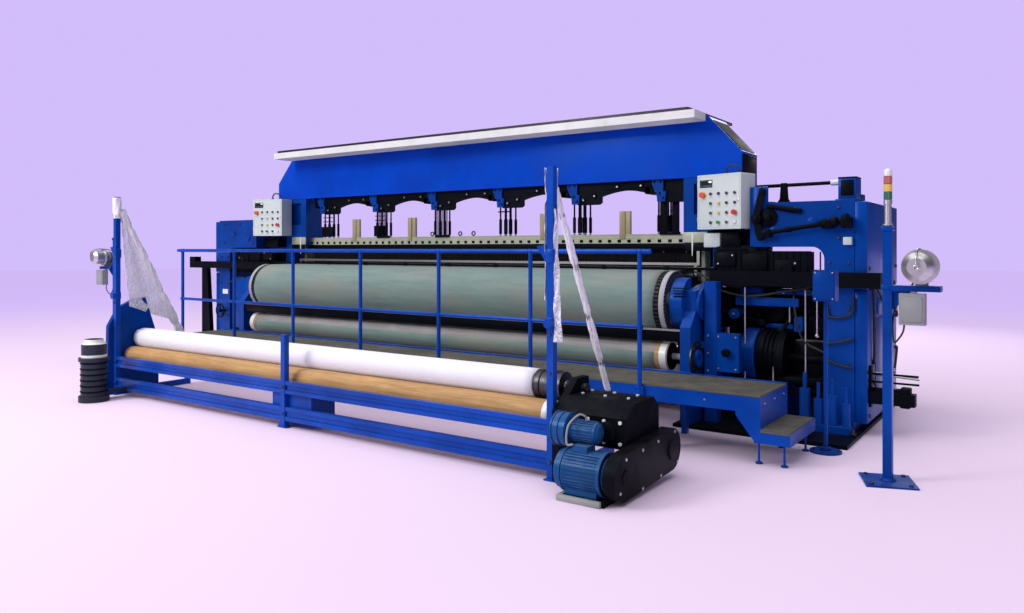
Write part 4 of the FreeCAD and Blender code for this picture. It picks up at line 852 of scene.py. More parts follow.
def around(shape: Shape, axis: Axis, centre: Sequence, count: int, first: float = 0.0) -> Shape:
    """Copies of a shape turned evenly about an axis, then moved to a centre."""
    turned = [shape.turned(axis, first + k * 360.0 / count) for k in range(count)]
    return joined(turned).moved(*centre)


def plate(corners: Sequence, thick: float) -> Shape:
    """A flat plate on a ring of corners, given thickness along its own normal."""
    ring = np.asarray(corners, dtype=float)
    normal = np.cross(ring[1] - ring[0], ring[2] - ring[1])
    normal = normal / np.linalg.norm(normal)
    return surface(np.stack([ring, ring + normal * thick]), round_columns=True, caps=True)


def arc(centre: Sequence, radius: float, first: float, last: float, steps: int) -> Array:
    """Points round a roller in the YZ plane, between two angles in degrees from +Y to +Z."""
    t = np.radians(np.linspace(first, last, steps))
    return np.stack([centre[0] + radius * np.cos(t), centre[1] + radius * np.sin(t)], -1)


def run_between(a: Sequence, b: Sequence) -> tuple:
    """The straight run from one roller to the next.

    Args:
        a: the roller that it leaves, as Y, Z, radius and turn, 1 from +Y to +Z or else -1.
        b: the roller that it meets, in the same way.

    Returns:
        The leaving point, the meeting point and the run's angle in degrees: the line's own
        angle plus the arc whose sine is the difference of the signed radii over the distance.
    """
    dy, dz = b[0] - a[0], b[1] - a[1]
    angle = math.atan2(dz, dy) + math.asin((a[3] * a[2] - b[3] * b[2]) / math.hypot(dy, dz))
    side = np.array([math.sin(angle), -math.cos(angle)])
    return (np.array(a[:2]) + a[3] * a[2] * side, np.array(b[:2]) + b[3] * b[2] * side,
            math.degrees(angle))


def hung(path: Array, half: float, across: int) -> Shape:
    """A sheet across the loom that follows a path in the YZ plane.

    A point is (X, path), and its UV is that X and the distance along the path.
    """
    steps = np.linalg.norm(np.diff(path, axis=0), axis=1)
    along = np.concatenate([[0.0], np.cumsum(steps)])
    x, s = np.meshgrid(np.linspace(-half, half, across), along)
    place = np.repeat(path[:, None, :], across, axis=1)
    return surface(np.concatenate([x[..., None], place], -1), uv=np.stack([x, s], -1))


@dataclass
class Gantry(SubAssembly):
    """The blue bridge over the loom, with its roof and its row of lamps."""

    end: float = 3.47
    top_end: float = 3.14
    low: float = 2.34
    knee: float = 2.58
    top: float = 2.945
    front: float = -0.40
    back: float = 0.07
    louvres: int = 210
    lug: float = 0.16
    lobe: float = 0.425
    rise: float = 0.057
    pivots: tuple = ((0.20, 0.18), (0.34, 0.14), (0.62, 0.05), (0.90, 0.05))
    stations: Array = field(default_factory=STATIONS.copy)

    def build(self) -> None:
        """Dresses the bridge and adds its end plates of painted shade, hem, louvres and lamp holders."""
        self.dress(Look.GANTRY, "gantry_beam")
        self.dress(Look.FRAME, "gantry_columns")
        self.dress(Look.ROOF, "roof_cover")
        self.dress(Look.LAMP_WHITE, "lamp_trough")
        self.dress(Look.TUBE, "lamp_tubes")
        self.add_ends()
        self.add_lamp_details()
        self.add_rocker_details()

    def add_ends(self) -> None:
        """Dark plates of painted shade on the two sloping ends, and a rolled hem under the front sheet."""
        y0, y1 = self.front + 0.03, self.back - 0.03
        lean = (self.top_end - self.end) / (self.top - self.knee)
        high = self.end + lean * (self.top - 0.035 - self.knee)
        # Painted shade: the sloping plate and the skirt below it are black to paint the shade that falls on
        # the gantry's ends.
        slope = plate([(self.end - 0.012, y0, self.knee + 0.015), (self.end - 0.012, y1, self.knee + 0.015),
                       (high, y1, self.top - 0.035), (high, y0, self.top - 0.035)], 0.004)
        skirt = block((self.end, y0, self.low + 0.03), (self.end + 0.004, y1, self.knee - 0.02), 0.001)
        rivets = joined([lathe([(0.0, 0.009), (0.004, 0.008), (0.007, 0.0)], Axis.X,
                               (self.end + 0.004, y, z), 10)
                         for y in np.linspace(y0 + 0.03, y1 - 0.03, 5)
                         for z in (self.low + 0.05, self.knee - 0.04)])
        half = joined([slope, skirt, rivets])
        self.add("gantry_end_shade_plates", both_ends(half), Look.BLACK)
        hem = tube(line_of((-self.end + 0.02, self.front - 0.002, self.low + 0.008),
                           (self.end - 0.02, self.front - 0.002, self.low + 0.008), 5), 0.007, 10)
        self.add("gantry_hem", hem, Look.GANTRY, slot="gantry_blue")

    def add_lamp_details(self) -> None:
        """A lattice of louvres under the trough, and a holder at each end of each lamp."""
        x = np.linspace(-3.10, 3.10, self.louvres)
        low, high = 2.892, 2.903
        blade = block((-0.0008, -0.748, low), (0.0008, -0.482, high), 0.0004, 2)
        rails = [block((-3.11, y - 0.001, low), (3.11, y + 0.001, high), 0.0005, 2)
                 for y in (-0.70, -0.66, -0.615, -0.57, -0.53)]
        places = along_x(x)
        self.add("lamp_louvres", joined([blade.repeated(places)] + rails), Look.LAMP_WHITE,
                 slot="lamp_white")
        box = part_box("lamp_tubes")
        span = (box[1][0] - box[0][0]) / 5
        holder = block((-0.012, -0.020, -0.005), (0.012, 0.020, 0.060), 0.004)
        spots = [(box[0][0] + span * k + side * 0.02, y, 2.905)
                 for k in range(6) for side in (-1, 1) for y in (box[0][1] + 0.02, box[1][1] - 0.02)]
        spots = [s for s in spots if -3.08 < s[0] < 3.08]
        self.add("lamp_holders", holder.repeated(spots), Look.WHITE_PLASTIC, slot="lamp_white")

    def housing(self, x0: float, x1: float, low: float) -> Array:
        """The lower edge of a rocker housing, a black web that is partly painted shade under the gantry: a
        level lobe by the hanger, then an arch.

        The arch is z = foot + rise * sin(pi * t), with t from 0 to 1 between the lobe and the next
        hanger. The foot is the underside of the lifting brackets.

        Args:
            x0: where the lobe begins, from the station.
            x1: where the arch ends, from the station.
            low: the underside of the gantry.

        Returns:
            (Z, X) pairs, from the gantry's underside and back to it.
        """
        foot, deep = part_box("lift_brackets")[0][2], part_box("lift_rockers")[0][2] - 0.03
        t = np.linspace(0.0, 1.0, 13)
        arch = np.stack([foot + self.rise * np.sin(math.pi * t), self.lobe + (x1 - self.lobe) * t], -1)
        lobe = [(low, x0), (deep + 0.01, x0), (deep, x0 + 0.02), (deep, self.lobe - 0.03),
                (deep + 0.02, self.lobe)]
        return np.concatenate([lobe, arch, [(low, x1)]])

    def add_rocker_details(self) -> None:
        """Blue hangers under the gantry, with a black arched rocker housing from each to the next; the
        housing takes the hidden rockers' place and, between the hangers, is painted shade for the gantry's
        dark underside.
        """
        low, width, front = self.low + 0.001, self.lug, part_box("lift_rockers")[0][1] - 0.01
        foot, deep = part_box("lift_brackets")[0][2] + 0.03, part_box("lift_rockers")[0][2] - 0.02
        hanger = prism([(low, 0.0), (low - 0.04, 0.0), (foot, 0.03), (foot, 0.05), (deep, 0.06),
                        (deep, width - 0.01),
                        (foot, width), (foot, width - 0.03), (low, width - 0.03)], Axis.Y, front - 0.027,
                        front - 0.001, 0.003)
        arm = block((-0.09, front - 0.005, low - 0.08), (0.06, front + 0.025, low), 0.004)
        stem = block((-0.095, front, low - 0.14), (-0.025, front + 0.27, low), 0.008)
        bolts = [hexagon(Axis.Y, (x, front - 0.027, low - down), 0.020, -0.008)
                 for x, down in ((0.03, 0.02), (0.10, 0.02), (0.09, 0.14), (0.13, 0.19))]
        places = [(s, 0.0, 0.0) for s in self.stations]
        first = self.add("lift_hangers", hanger.repeated(places), Look.FRAME, slot="frame_blue")
        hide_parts("lift_brackets")
        self.add("hanger_bolts", joined(bolts).repeated(places), Look.BLACK)
        self.add("hanger_arms", joined([arm, stem]).repeated(places), Look.BLACK)
        pitch = self.stations[1] - self.stations[0]
        # Painted shade: the black web fills the whole span to the next hanger, where the gantry's underside
        # lies in shade.
        web = prism(self.housing(width - 0.05, pitch, low), Axis.Y, front, front + 0.023, 0.003)
        bosses = [lathe([(front - 0.011, 0.024), (front - 0.007, 0.030), (front + 0.005, 0.032)], Axis.Y,
                        (x, 0, low - down), 24) for x, down in self.pivots]
        ribs = [block((x0, front - 0.005, low - down), (x1, front + 0.002, low - down + 0.01), 0.002)
                for x0, x1, down in ((0.44, 1.02, 0.08), (0.13, 0.41, 0.105))]
        rockers = self.add("rocker_shade_webs", joined([web] + bosses + ribs).repeated(places[:-1]), Look.BLACK)
        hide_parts("lift_rockers")
        # Painted shade: the last station's web is black like the others.
        edge = self.housing(width - 0.05, self.lobe + 0.02, low)
        tail = prism(edge, Axis.Y, front, front + 0.023, 0.003).moved(self.stations[-1])
        self.add("end_shade_web", tail, Look.BLACK)
        pins = [lathe([(front - 0.019, 0.009), (front - 0.016, 0.012), (front - 0.007, 0.012)], Axis.Y,
                      (x, 0, low - down), 16) for x, down in self.pivots]
        self.add("rocker_pins", joined(pins).repeated(places[:-1]), Look.STEEL, slot="bright_steel")


@dataclass
class HealdSet(SubAssembly):
    """Three heald frames with their healds, lifting rods and rail fittings."""

    planes: tuple = (-0.25, -0.19, -0.13)
    half: float = 3.05
    bottom: float = 0.96
    top: float = 1.78
    bar: float = 0.10
    healds: int = 290
    eye: float = 1.4069
    dot_pitch: float = 0.115
    timber: tuple = (0, 1, 3, 4)
    stations: Array = field(default_factory=STATIONS.copy)

    def build(self) -> None:
        """Dresses the frames and fits them out."""
        for number, y in enumerate(self.planes, 1):
            self.dress(Look.CREAM, "heald_frame_%d" % number)
            self.add_healds(number, y)
            self.add_clamps(number, y)
        self.add_rail_dots()
        self.add_timber()

    def add_healds(self, number: int, y: float) -> None:
        """Flat wire healds: thin strips that swell to an eye at the warp's height."""
        z = np.array([self.bottom + self.bar - 0.02, self.eye - 0.020, self.eye - 0.007, self.eye + 0.007,
                      self.eye + 0.020, self.top - self.bar + 0.02])
        line = np.stack([0 * z, 0 * z + y, z], -1)
        wire = tube(line, np.array([0.0009, 0.0009, 0.0030, 0.0030, 0.0009, 0.0009]), 4)
        x = np.linspace(-self.half + 0.10, self.half - 0.10, self.healds) + 0.003 * number
        self.add("healds_%d" % number, wire.repeated(along_x(x)), Look.DARK_STEEL,
                 "heald_frame_%d" % number, "bright_steel")

    def add_clamps(self, number: int, y: float) -> None:
        """Turnbuckles and lock nuts on each pair of lifting rods, and bars and rings on the first frame."""
        x = 0.095 + (np.arange(2) * 3 + number - 1 - 2.5) * 0.028
        nut = joined([hexagon(Axis.Z, (0, 0, z), 0.021, 0.010) for z in (1.782, 1.826, 1.972, 2.02)])
        sleeve = lathe(ring_profile(1.800, 1.978, 0.0150, 0.0175, 0.006), Axis.Z,
                       (0, 0, 0), 12)
        sheath = lathe(ring_profile(1.98, 2.290, 0.0078, 0.0098, 0.005), Axis.Z, (0, 0, 0),
                       12)
        places = [(s + dx, y, 0.0) for s in self.stations for dx in x]
        self.add("rod_nuts_%d" % number, joined([nut, sleeve, sheath]).repeated(places), Look.BLACK,
                 "heald_frame_%d" % number)
        if number == 1:
            bars = []
            for s in self.stations[:2]:
                bars.append(block((s - 0.015, y - 0.024, 1.790), (s + 0.205, y - 0.017, 1.935), 0.003))
                bars.append(block((s, y - 0.020, 2.000), (s + 0.190, y - 0.008, 2.012), 0.002))
                bars.append(block((s, y - 0.020, 2.060), (s + 0.190, y - 0.008, 2.070), 0.002))
            s = self.stations[3]
            bars.append(block((s, y - 0.020, 2.060), (s + 0.190, y - 0.008, 2.075), 0.002))
            thin = block((-0.003, y - 0.034, self.top), (0.003, y - 0.028, 2.285), 0.001, 2)
            bars.append(thin.repeated([(self.stations[k] + x, 0, 0) for k in (1, 2)
                                       for x in np.linspace(0.07, 0.25, 13)]))
            bars += [block((self.stations[5] + x, y - 0.040, self.top),
                           (self.stations[5] + x + 0.08, y - 0.022, 2.290), 0.005)
                     for x in (0.055, 0.19)]
            foot = block((0.05, y - 0.036, self.top - 0.012), (0.275, y - 0.010, self.top + 0.02), 0.002)
            bars.append(foot.repeated([(self.stations[k], 0, 0) for k in (1, 2, 5)]))
            self.add("rod_guard_plates", joined(bars), Look.BLACK, "heald_frame_1")
            ring = [(s, y, 1.812) for s in (-0.62, -0.16, 0.05)]
            t = np.linspace(0, 2 * math.pi, 25)
            loop = tube(np.stack([0.024 * np.cos(t), 0 * t, 0.024 * np.sin(t)], -1), 0.008, 8)
            self.add("rail_rings", loop.repeated(ring), Look.RUBBER, "heald_frame_1")

    def add_rail_dots(self) -> None:
        """The dark slides along the first frame's upper rail, with the rail's lips and underside."""
        count = int(2 * (self.half - 0.15) / self.dot_pitch)
        x = np.linspace(-self.half + 0.15, self.half - 0.15, count)
        slide = joined([block((-0.020, self.planes[0] - 0.022, 1.690), (0.020, self.planes[0] - 0.015, 1.722),
                              0.002),
                        hexagon(Axis.Y, (0, 0, 0), 0.014, -0.006).moved(0, self.planes[0] - 0.020, 1.706)])
        self.add("rail_slides", slide.repeated(along_x(x)), Look.BLACK,
                 "heald_frame_1")
        lip = [block((-self.half + 0.01, self.planes[0] - 0.020, z),
                     (self.half - 0.01, self.planes[0] - 0.015, z + 0.008), 0.001, 2)
               for z in (1.735, 1.766)]
        self.add("rail_lips", joined(lip), Look.CREAM, "heald_frame_1", "cream_rail")
        self.add("rail_underside", block((-self.half + 0.04, self.planes[0] - 0.0195, 1.625),
                                         (self.half - 0.04, self.planes[0] - 0.014, 1.678), 0.002),
                 Look.BLACK, "heald_frame_1")

    def add_timber(self) -> None:
        """Timber blocks that stand on the rail between the lifting stations."""
        for number, bay in enumerate(self.timber, 1):
            x, tall = self.stations[bay] + 0.67, 0.25
            piece = joined([block((x - 0.064, self.planes[0] - 0.028, self.top - 0.052),
                                  (x + 0.003, self.planes[0] - 0.0155, self.top + tall), 0.003),
                            block((x - 0.001, self.planes[0] - 0.018, self.top),
                                  (x + 0.064, self.planes[0] + 0.015, self.top + tall), 0.003)])
            self.add("timber_block_%d" % number, piece, Look.WOOD, "heald_frame_1", "cream_rail")


@dataclass
class Cloth(SubAssembly):
    """The warp from its beam to the reed, the cloth round the drum, and the wound yarn."""

    half: float = 2.92
    thick: float = 0.003
    off: float = 0.0019
    line: float = 1.4069
    fell: float = -0.64
    drum: tuple = DRUM
    press: tuple = PRESS
    rest: tuple = REST
    beam: tuple = BEAM
    beam_core: float = 0.115

    def roller(self, at: tuple, turn: int) -> tuple:
        """A roller as the sheet's middle line sees it."""
        return at[0], at[1], at[2] + self.off, turn

    def build(self) -> None:
        """Makes the two sheets and the yarn on the beam."""
        drum, press = self.roller(self.drum, 1), self.roller(self.press, -1)
        leave, meet, turn = run_between(drum, press)
        path = np.concatenate([
            line_of((self.fell, self.line), (drum[0] + 0.02, self.line), 8),
            arc(drum[:2], drum[2], 90.0, turn + 270.0, 90),
            line_of(leave, meet, 8)[1:-1],
            arc(press[:2], press[2], turn + 90.0, -200.0, 70)])
        web = hung(path, self.half, 60)
        cloth = self.add("woven_cloth", web, Look.CLOTH, slot="loom_cloth", sharp=60.0)
        self.thicken(cloth, self.thick)
        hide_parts("cloth_web")

        rest, beam = self.roller(self.rest, -1), self.roller(self.beam, -1)
        leave, meet, turn = run_between(rest, beam)
        path = np.concatenate([
            line_of((self.fell + 0.0004, self.line), (rest[0] - 0.01, self.line), 30),
            arc(rest[:2], rest[2], 90.0, turn + 90.0, 30),
            line_of(leave, meet, 10)[1:-1],
            arc(beam[:2], beam[2], turn + 90.0, turn + 60.0, 24)])
        ends = hung(path, self.half, 40)
        warp = self.add("warp_ends", ends, Look.WARP, slot="warp_yarn", sharp=60.0)
        self.thicken(warp, self.thick)
        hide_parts("warp_sheet")
        self.add_yarn()

    def add_yarn(self) -> None:
        """The wound yarn: its radius is the beam's less 0.7 mm, with a sine of X of 0.6 mm on it."""
        x = np.linspace(-2.99, 2.99, 260)
        radius = self.beam[2] - 0.0007 - 0.0006 * np.sin(190.0 * x)
        radius[[0, -1]] = self.beam_core
        radius[[1, -2]] = self.beam[2] - 0.004
        x[1], x[-2] = x[0] + 0.0005, x[-1] - 0.0005
        yarn = lathe(np.stack([x, radius], -1), Axis.X, (0, self.beam[0], self.beam[1]), 96)
        wound = self.add("wound_yarn", yarn, Look.WARP_WOUND, "warp_beam", "warp_yarn")
        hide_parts("warp_yarn")


@dataclass
class Rollers(SubAssembly):
    """Drum, press roller, back rest, beams, sley and reed."""

    reed_y: float = -0.387
    reed_low: float = 1.366
    reed_high: float = 1.575
    dents: int = 420
    guard_half: float = 3.178
    disc_face: float = 3.0101

    def build(self) -> None:
        """Dresses the turned pieces and adds their bands, dents and bolts, and the fixed guards, among them
        plates of painted shade.
        """
        self.dress(Look.DRUM, "takeup_drum")
        self.dress(Look.STEEL, "back_rest", "warp_beam", "gripper_left", "gripper_right")
        self.dress(Look.GRIP, "press_roller")
        self.dress(Look.BAR_STEEL, "reed")
        self.dress(Look.BLACK, "sley")
        self.add_drum_ends()
        self.add_press_bands()
        self.add_reed()
        self.add_beam_ribs()
        self.add_guards()

    def add_drum_ends(self) -> None:
        """A strap, a dark band, a rim with pegs, and spokes round a hub, at each end of the drum."""
        y, z, r = DRUM
        strap = lathe(ring_profile(2.978, 3.015, r + 0.0005, r + 0.005, 0.001),
                      Axis.X, (0, y, z), 96)
        self.add("drum_straps", both_ends(strap), Look.STRAP, "takeup_drum", "drum_metal")
        selvedge = lathe(ring_profile(2.924, 2.977, r + 0.0005, r + 0.0035, 0.001),
                         Axis.X, (0, y, z), 96)
        self.add("drum_bands", both_ends(selvedge), Look.BLACK, "takeup_drum", "drum_metal")
        rim = lathe(ring_profile(3.016, 3.029, r - 0.028, r + 0.006, 0.001),
                    Axis.X, (0, y, z), 96)
        self.add("drum_rims", both_ends(rim), Look.STRAP, "takeup_drum", "drum_metal")
        peg = block((3.0285, -0.008, r - 0.024), (3.033, 0.008, r + 0.002), 0.001, 2)
        pegs = around(peg, Axis.X, (0, y, z), 48)
        face = block((2.928, -0.010, r - 0.001), (2.972, 0.010, r + 0.006), 0.002, 2)
        faces = around(face, Axis.X, (0, y, z), 48)
        both = joined([pegs, faces])
        self.add("drum_pegs", both_ends(both), Look.RUBBER, "takeup_drum")
        spoke = block((3.001, -0.022, 0.06), (3.010, 0.022, r - 0.03), 0.004)
        hub = lathe([(3.000, 0.085), (3.004, 0.090), (3.024, 0.086), (3.028, 0.078)], Axis.X, (0, y, z), 32)
        bolts = around(hexagon(Axis.X, (3.024, 0, 0.066), 0.018, 0.010), Axis.X, (0, y, z), 6)
        side = joined([around(spoke, Axis.X, (0, y, z), 6), hub, bolts])
        self.add("drum_spokes", both_ends(side), Look.BLACK, "takeup_drum")

    def add_press_bands(self) -> None:
        """A brown band, a white sleeve and a black cap beside the cloth at each end of the press roller."""
        y, z, r = PRESS
        brown = lathe(ring_profile(2.926, 2.963, r, r + 0.0025, 0.001), Axis.X, (0, y, z),
                      64)
        white = lathe(ring_profile(2.968, 3.037, r, r + 0.003, 0.001), Axis.X, (0, y, z), 64)
        cap = lathe([(3.0502, 0.100), (3.0502, 0.126), (3.0560, 0.126), (3.0585, 0.060)], Axis.X, (0, y, z),
                    48)
        self.add("press_caps", both_ends(cap), Look.BLACK, "press_roller")
        self.add("press_tape", both_ends(brown), Look.CORK, "press_roller", "bright_steel")
        self.add("press_sleeves", both_ends(white), Look.WHITE_PLASTIC, "press_roller",
                 "bright_steel")

    def add_reed(self) -> None:
        """The reed's dents, and bolts along its cap."""
        x = np.linspace(-2.97, 2.97, self.dents)
        dent = block((-0.0006, self.reed_y - 0.004, self.reed_low),
                     (0.0006, self.reed_y + 0.004, self.reed_high), 0.0003, 2)
        self.add("reed_dents", dent.repeated(along_x(x)), Look.DARK_STEEL, "sley",
                 "bright_steel")
        x = np.linspace(-2.9, 2.9, 24)
        head = lathe([(0.0, 0.008), (-0.004, 0.007), (-0.006, 0.004)], Axis.Y, (0, -0.398, 1.5885), 12)
        self.add("reed_screws", head.repeated(along_x(x)), Look.DARK_STEEL, "sley")

    def add_guards(self) -> None:
        """A ribbed sheet behind the healds, a black plate of painted shade and a bar along the drum, and the
        rail's end covers with black plates of painted shade under them.
        """
        column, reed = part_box("gantry_columns"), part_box("reed")
        drum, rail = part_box("takeup_drum"), reed[1][2] + 0.18
        y, half, low, top = column[1][1], self.guard_half, reed[0][2] + 0.08, column[0][2] + 0.10
        back = [block((-half, y + 0.0005, low), (half, y + 0.012, top), 0.003)]
        back += [block((x - 0.012, y + 0.011, low + 0.01), (x + 0.012, y + 0.030, top - 0.01), 0.003)
                 for x in np.linspace(-3.0, 3.0, 9)]
        back += [hexagon(Axis.Y, (x, y + 0.012, z), 0.020, 0.009)
                 for x in (-3.04, -2.94, 2.94, 3.04) for z in (top - 0.08, top - 0.02)]
        self.add("shed_guard", joined(back), Look.BLACK)
        # Painted shade: a black plate with bolts hangs in front of the cloth's run from the drum to the press
        # roller, where that run lies in shade.
        y, z = drum[0][1] + 0.036, drum[0][2]
        front = [block((-half, y, z - 0.035), (half, y + 0.010, z + 0.065), 0.002)]
        front += [hexagon(Axis.Y, (x, y, z + 0.045), 0.016, -0.006) for x in np.linspace(-3.0, 3.0, 13)]
        self.add("take_up_shade_plate", joined(front), Look.BLACK)
        y, z, reach = drum[1][1], drum[1][2], drum[1][0]
        bar = [block((-reach, y - 0.018, z + 0.007), (reach, y + 0.002, z + 0.035), 0.003)]
        bar += [block((x - 0.03, y - 0.026, z + 0.004), (x + 0.03, y - 0.014, z + 0.041), 0.004)
                for x in np.linspace(-2.8, 2.8, 9)]
        self.add("temple_bar", joined(bar), Look.BLACK)
        y = column[0][1] - 0.012
        tip = plate([(2.960, y, rail), (2.966, y, reed[1][2] - 0.05), (2.972, y, reed[1][2] - 0.05),
                     (2.984, y, rail)], 0.004)
        self.add("shed_pointers", both_ends(tip), Look.LAMP_WHITE, slot="cream_rail")
        end = block((2.870, y, rail - 0.095), (3.162, y + 0.013, rail + 0.01), 0.003)
        self.add("rail_end_covers", both_ends(end), Look.CREAM, slot="cream_rail")
        # Painted shade: the black plate under each cream end cover darkens the lower part of the column as
        # shade would.
        under = block((2.892, y + 0.004, reed[1][2]), (3.168, y + 0.013, rail - 0.094), 0.003)
        self.add("rail_end_shade_plates", both_ends(under), Look.BLACK)

    def add_beam_ribs(self) -> None:
        """Ribs, a hub and bolts on the outer face of each warp beam disc."""
        y, z = BEAM[:2]
        face = self.disc_face
        rib = block((face, -0.008, 0.13), (3.026, 0.008, 0.415), 0.003)
        rim = lathe([(face, 0.412), (3.011, 0.429), (3.024, 0.429), (3.025, 0.412)], Axis.X, (0, y, z), 72)
        bolts = around(hexagon(Axis.X, (face, 0.04, 0.16), 0.026, 0.013), Axis.X, (0, y, z), 10)
        side = joined([around(rib, Axis.X, (0, y, z), 10), rim, bolts])
        self.add("beam_disc_ribs", both_ends(side), Look.BLACK, "warp_beam")


@dataclass
class Panels(SubAssembly):
    """The two control panels, mirrored in place but not in layout."""

    place: tuple = (3.35, -0.70, 1.81)
    yaw: float = -15.0
    half: float = 0.245
    height: float = 0.525
    depth: float = 0.235
    columns: tuple = (-0.09, 0.0, 0.09, 0.18)
    rows: tuple = (0.340, 0.248, 0.156, 0.064)

    def at(self, shape: Shape, side: int) -> Shape:
        """A shape from the panel's own frame put on the panel at one end of the loom."""
        x, y, z = self.place
        return shape.turned(Axis.Z, self.yaw * side).moved(x * side, y, z)

    def both(self, shape: Shape) -> Shape:
        """A shape on both panels."""
        return joined([self.at(shape, 1), self.at(shape, -1)])

    def build(self) -> None:
        """Dresses the boxes and the moving buttons, and makes the lamps, screen and trim."""
        self.dress(Look.PANEL, "control_panels")
        for side in ("left", "right"):
            self.dress(Look.RED, "stop_button_" + side)
            self.dress(Look.GREEN, "start_button_" + side)
            self.dress(Look.ORANGE, "emergency_stop_" + side)
        self.add_lamps()
        self.add_trim()

    def cap(self) -> Shape:
        """A round lens with a domed front."""
        steps = [(-0.0035, 0.0145), (-0.009, 0.0145), (-0.0112, 0.0120), (-0.0120, 0.0070), (-0.0121, 0.0)]
        return lathe(steps[::-1], Axis.Y, (0, 0, 0), 20)

    def add_lamps(self) -> None:
        """A bezel at every lamp, and caps in the colours of the panel's rows."""
        grid = {Look.BLACK_PLASTIC: [(0, 0), (1, 0), (2, 0), (3, 0), (2, 1), (3, 1), (2, 2), (0, 3)],
                Look.DARK_GREEN: [(0, 1), (0, 2), (2, 3)],
                Look.YELLOW: [(1, 1), (1, 2)], Look.WHITE_PLASTIC: [(3, 3)]}
        spots = [(self.columns[c], 0.0, self.rows[r]) for places in grid.values() for c, r in places]
        ring = lathe([(-0.0040, 0.0150), (-0.0040, 0.0185), (-0.0028, 0.0200), (0.0002, 0.0200)], Axis.Y,
                     sides=24)
        rings = self.add("lamp_bezels", self.both(ring.repeated(spots)), Look.ZINC, slot="lamp_dark")
        for look, places in grid.items():
            caps = self.cap().repeated([(self.columns[c], 0.0, self.rows[r]) for c, r in places])
            self.add("lamp_caps_" + look.name.lower(), self.both(caps), look, slot="lamp_dark")
        screen = block((-0.208, 0.001, 0.409), (-0.079, 0.0055, 0.466), 0.0015)
        self.add("panel_screens", self.both(screen), Look.SCREEN, slot="lamp_dark")
        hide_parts("pilot_lamps")
        collar = lathe([(-0.003, 0.0275), (-0.003, 0.031), (0.0004, 0.033), (0.0005, 0.0275)], Axis.Y,
                       (0, 0, 0), 28)
        wide = collar.moved(-0.178, 0, 0.331)
        self.add("stop_collars", self.both(wide), Look.YELLOW, slot="lamp_dark")

    def add_trim(self) -> None:
        """Screen bezel, hinges, lock, screws, button strips, the conduit on top, and ribs at the back."""
        h, t = self.half, self.height
        bezel = joined([block((-0.215, -0.003, z), (-0.072, 0.0004, z + 0.007), 0.001, 2)
                        for z in (0.401, 0.468)]
                       + [block((x, -0.003, 0.401), (x + 0.007, 0.0004, 0.475), 0.001, 2)
                          for x in (-0.216, -0.078)])
        self.add("screen_bezels", self.both(bezel), Look.BLACK_PLASTIC, slot="panel_grey")
        hinge = joined([lathe(ring_profile(z, z + 0.05, 0.007, 0.008, 0.002), Axis.Z,
                              (-h - 0.004, 0.012, 0), 12) for z in (0.07, 0.40)])
        lock = lathe([(-0.006, 0.008), (-0.005, 0.011), (0.0, 0.012)], Axis.Y, (h - 0.03, 0, 0.27), 16)
        screws = joined([lathe([(-0.003, 0.0035), (-0.002, 0.005), (0.0, 0.005)], Axis.Y, (x, 0, z), 10)
                         for x in (-h + 0.026, h - 0.026) for z in (0.026, t - 0.026)])
        self.add("panel_fittings", self.both(joined([hinge, lock, screws])), Look.ZINC, slot="panel_grey")
        tags = [block((x - 0.018, -0.0012, z - 0.034), (x + 0.018, 0.0004, z - 0.026), 0.0004, 2)
                for x in self.columns for z in self.rows]
        self.add("button_strips", self.both(joined(tags)), Look.ZINC, slot="panel_grey")
        loop = curve([(0.02, 0.10, t - 0.01), (0.02, 0.10, t + 0.045), (0.06, 0.10, t + 0.085),
                      (0.12, 0.11, t + 0.075), (0.15, 0.12, t + 0.03), (0.155, 0.125, t - 0.01)], 6)
        gland = [lathe([(t - 0.006, 0.018), (t + 0.012, 0.018), (t + 0.02, 0.013)], Axis.Z, (x, y, 0), 16)
                 for x, y in ((0.02, 0.10), (0.155, 0.125))]
        self.add("panel_conduits", self.both(joined([tube(loop, 0.009, 12)] + gland)), Look.RUBBER)
        rib = joined([block((x - 0.0015, self.depth, 0.06), (x + 0.0015, self.depth + 0.004, 0.46), 0.001, 2)
                      for x in np.linspace(-0.18, 0.18, 13)])
        self.add("panel_back_ribs", self.both(rib), Look.PANEL, slot="panel_grey")


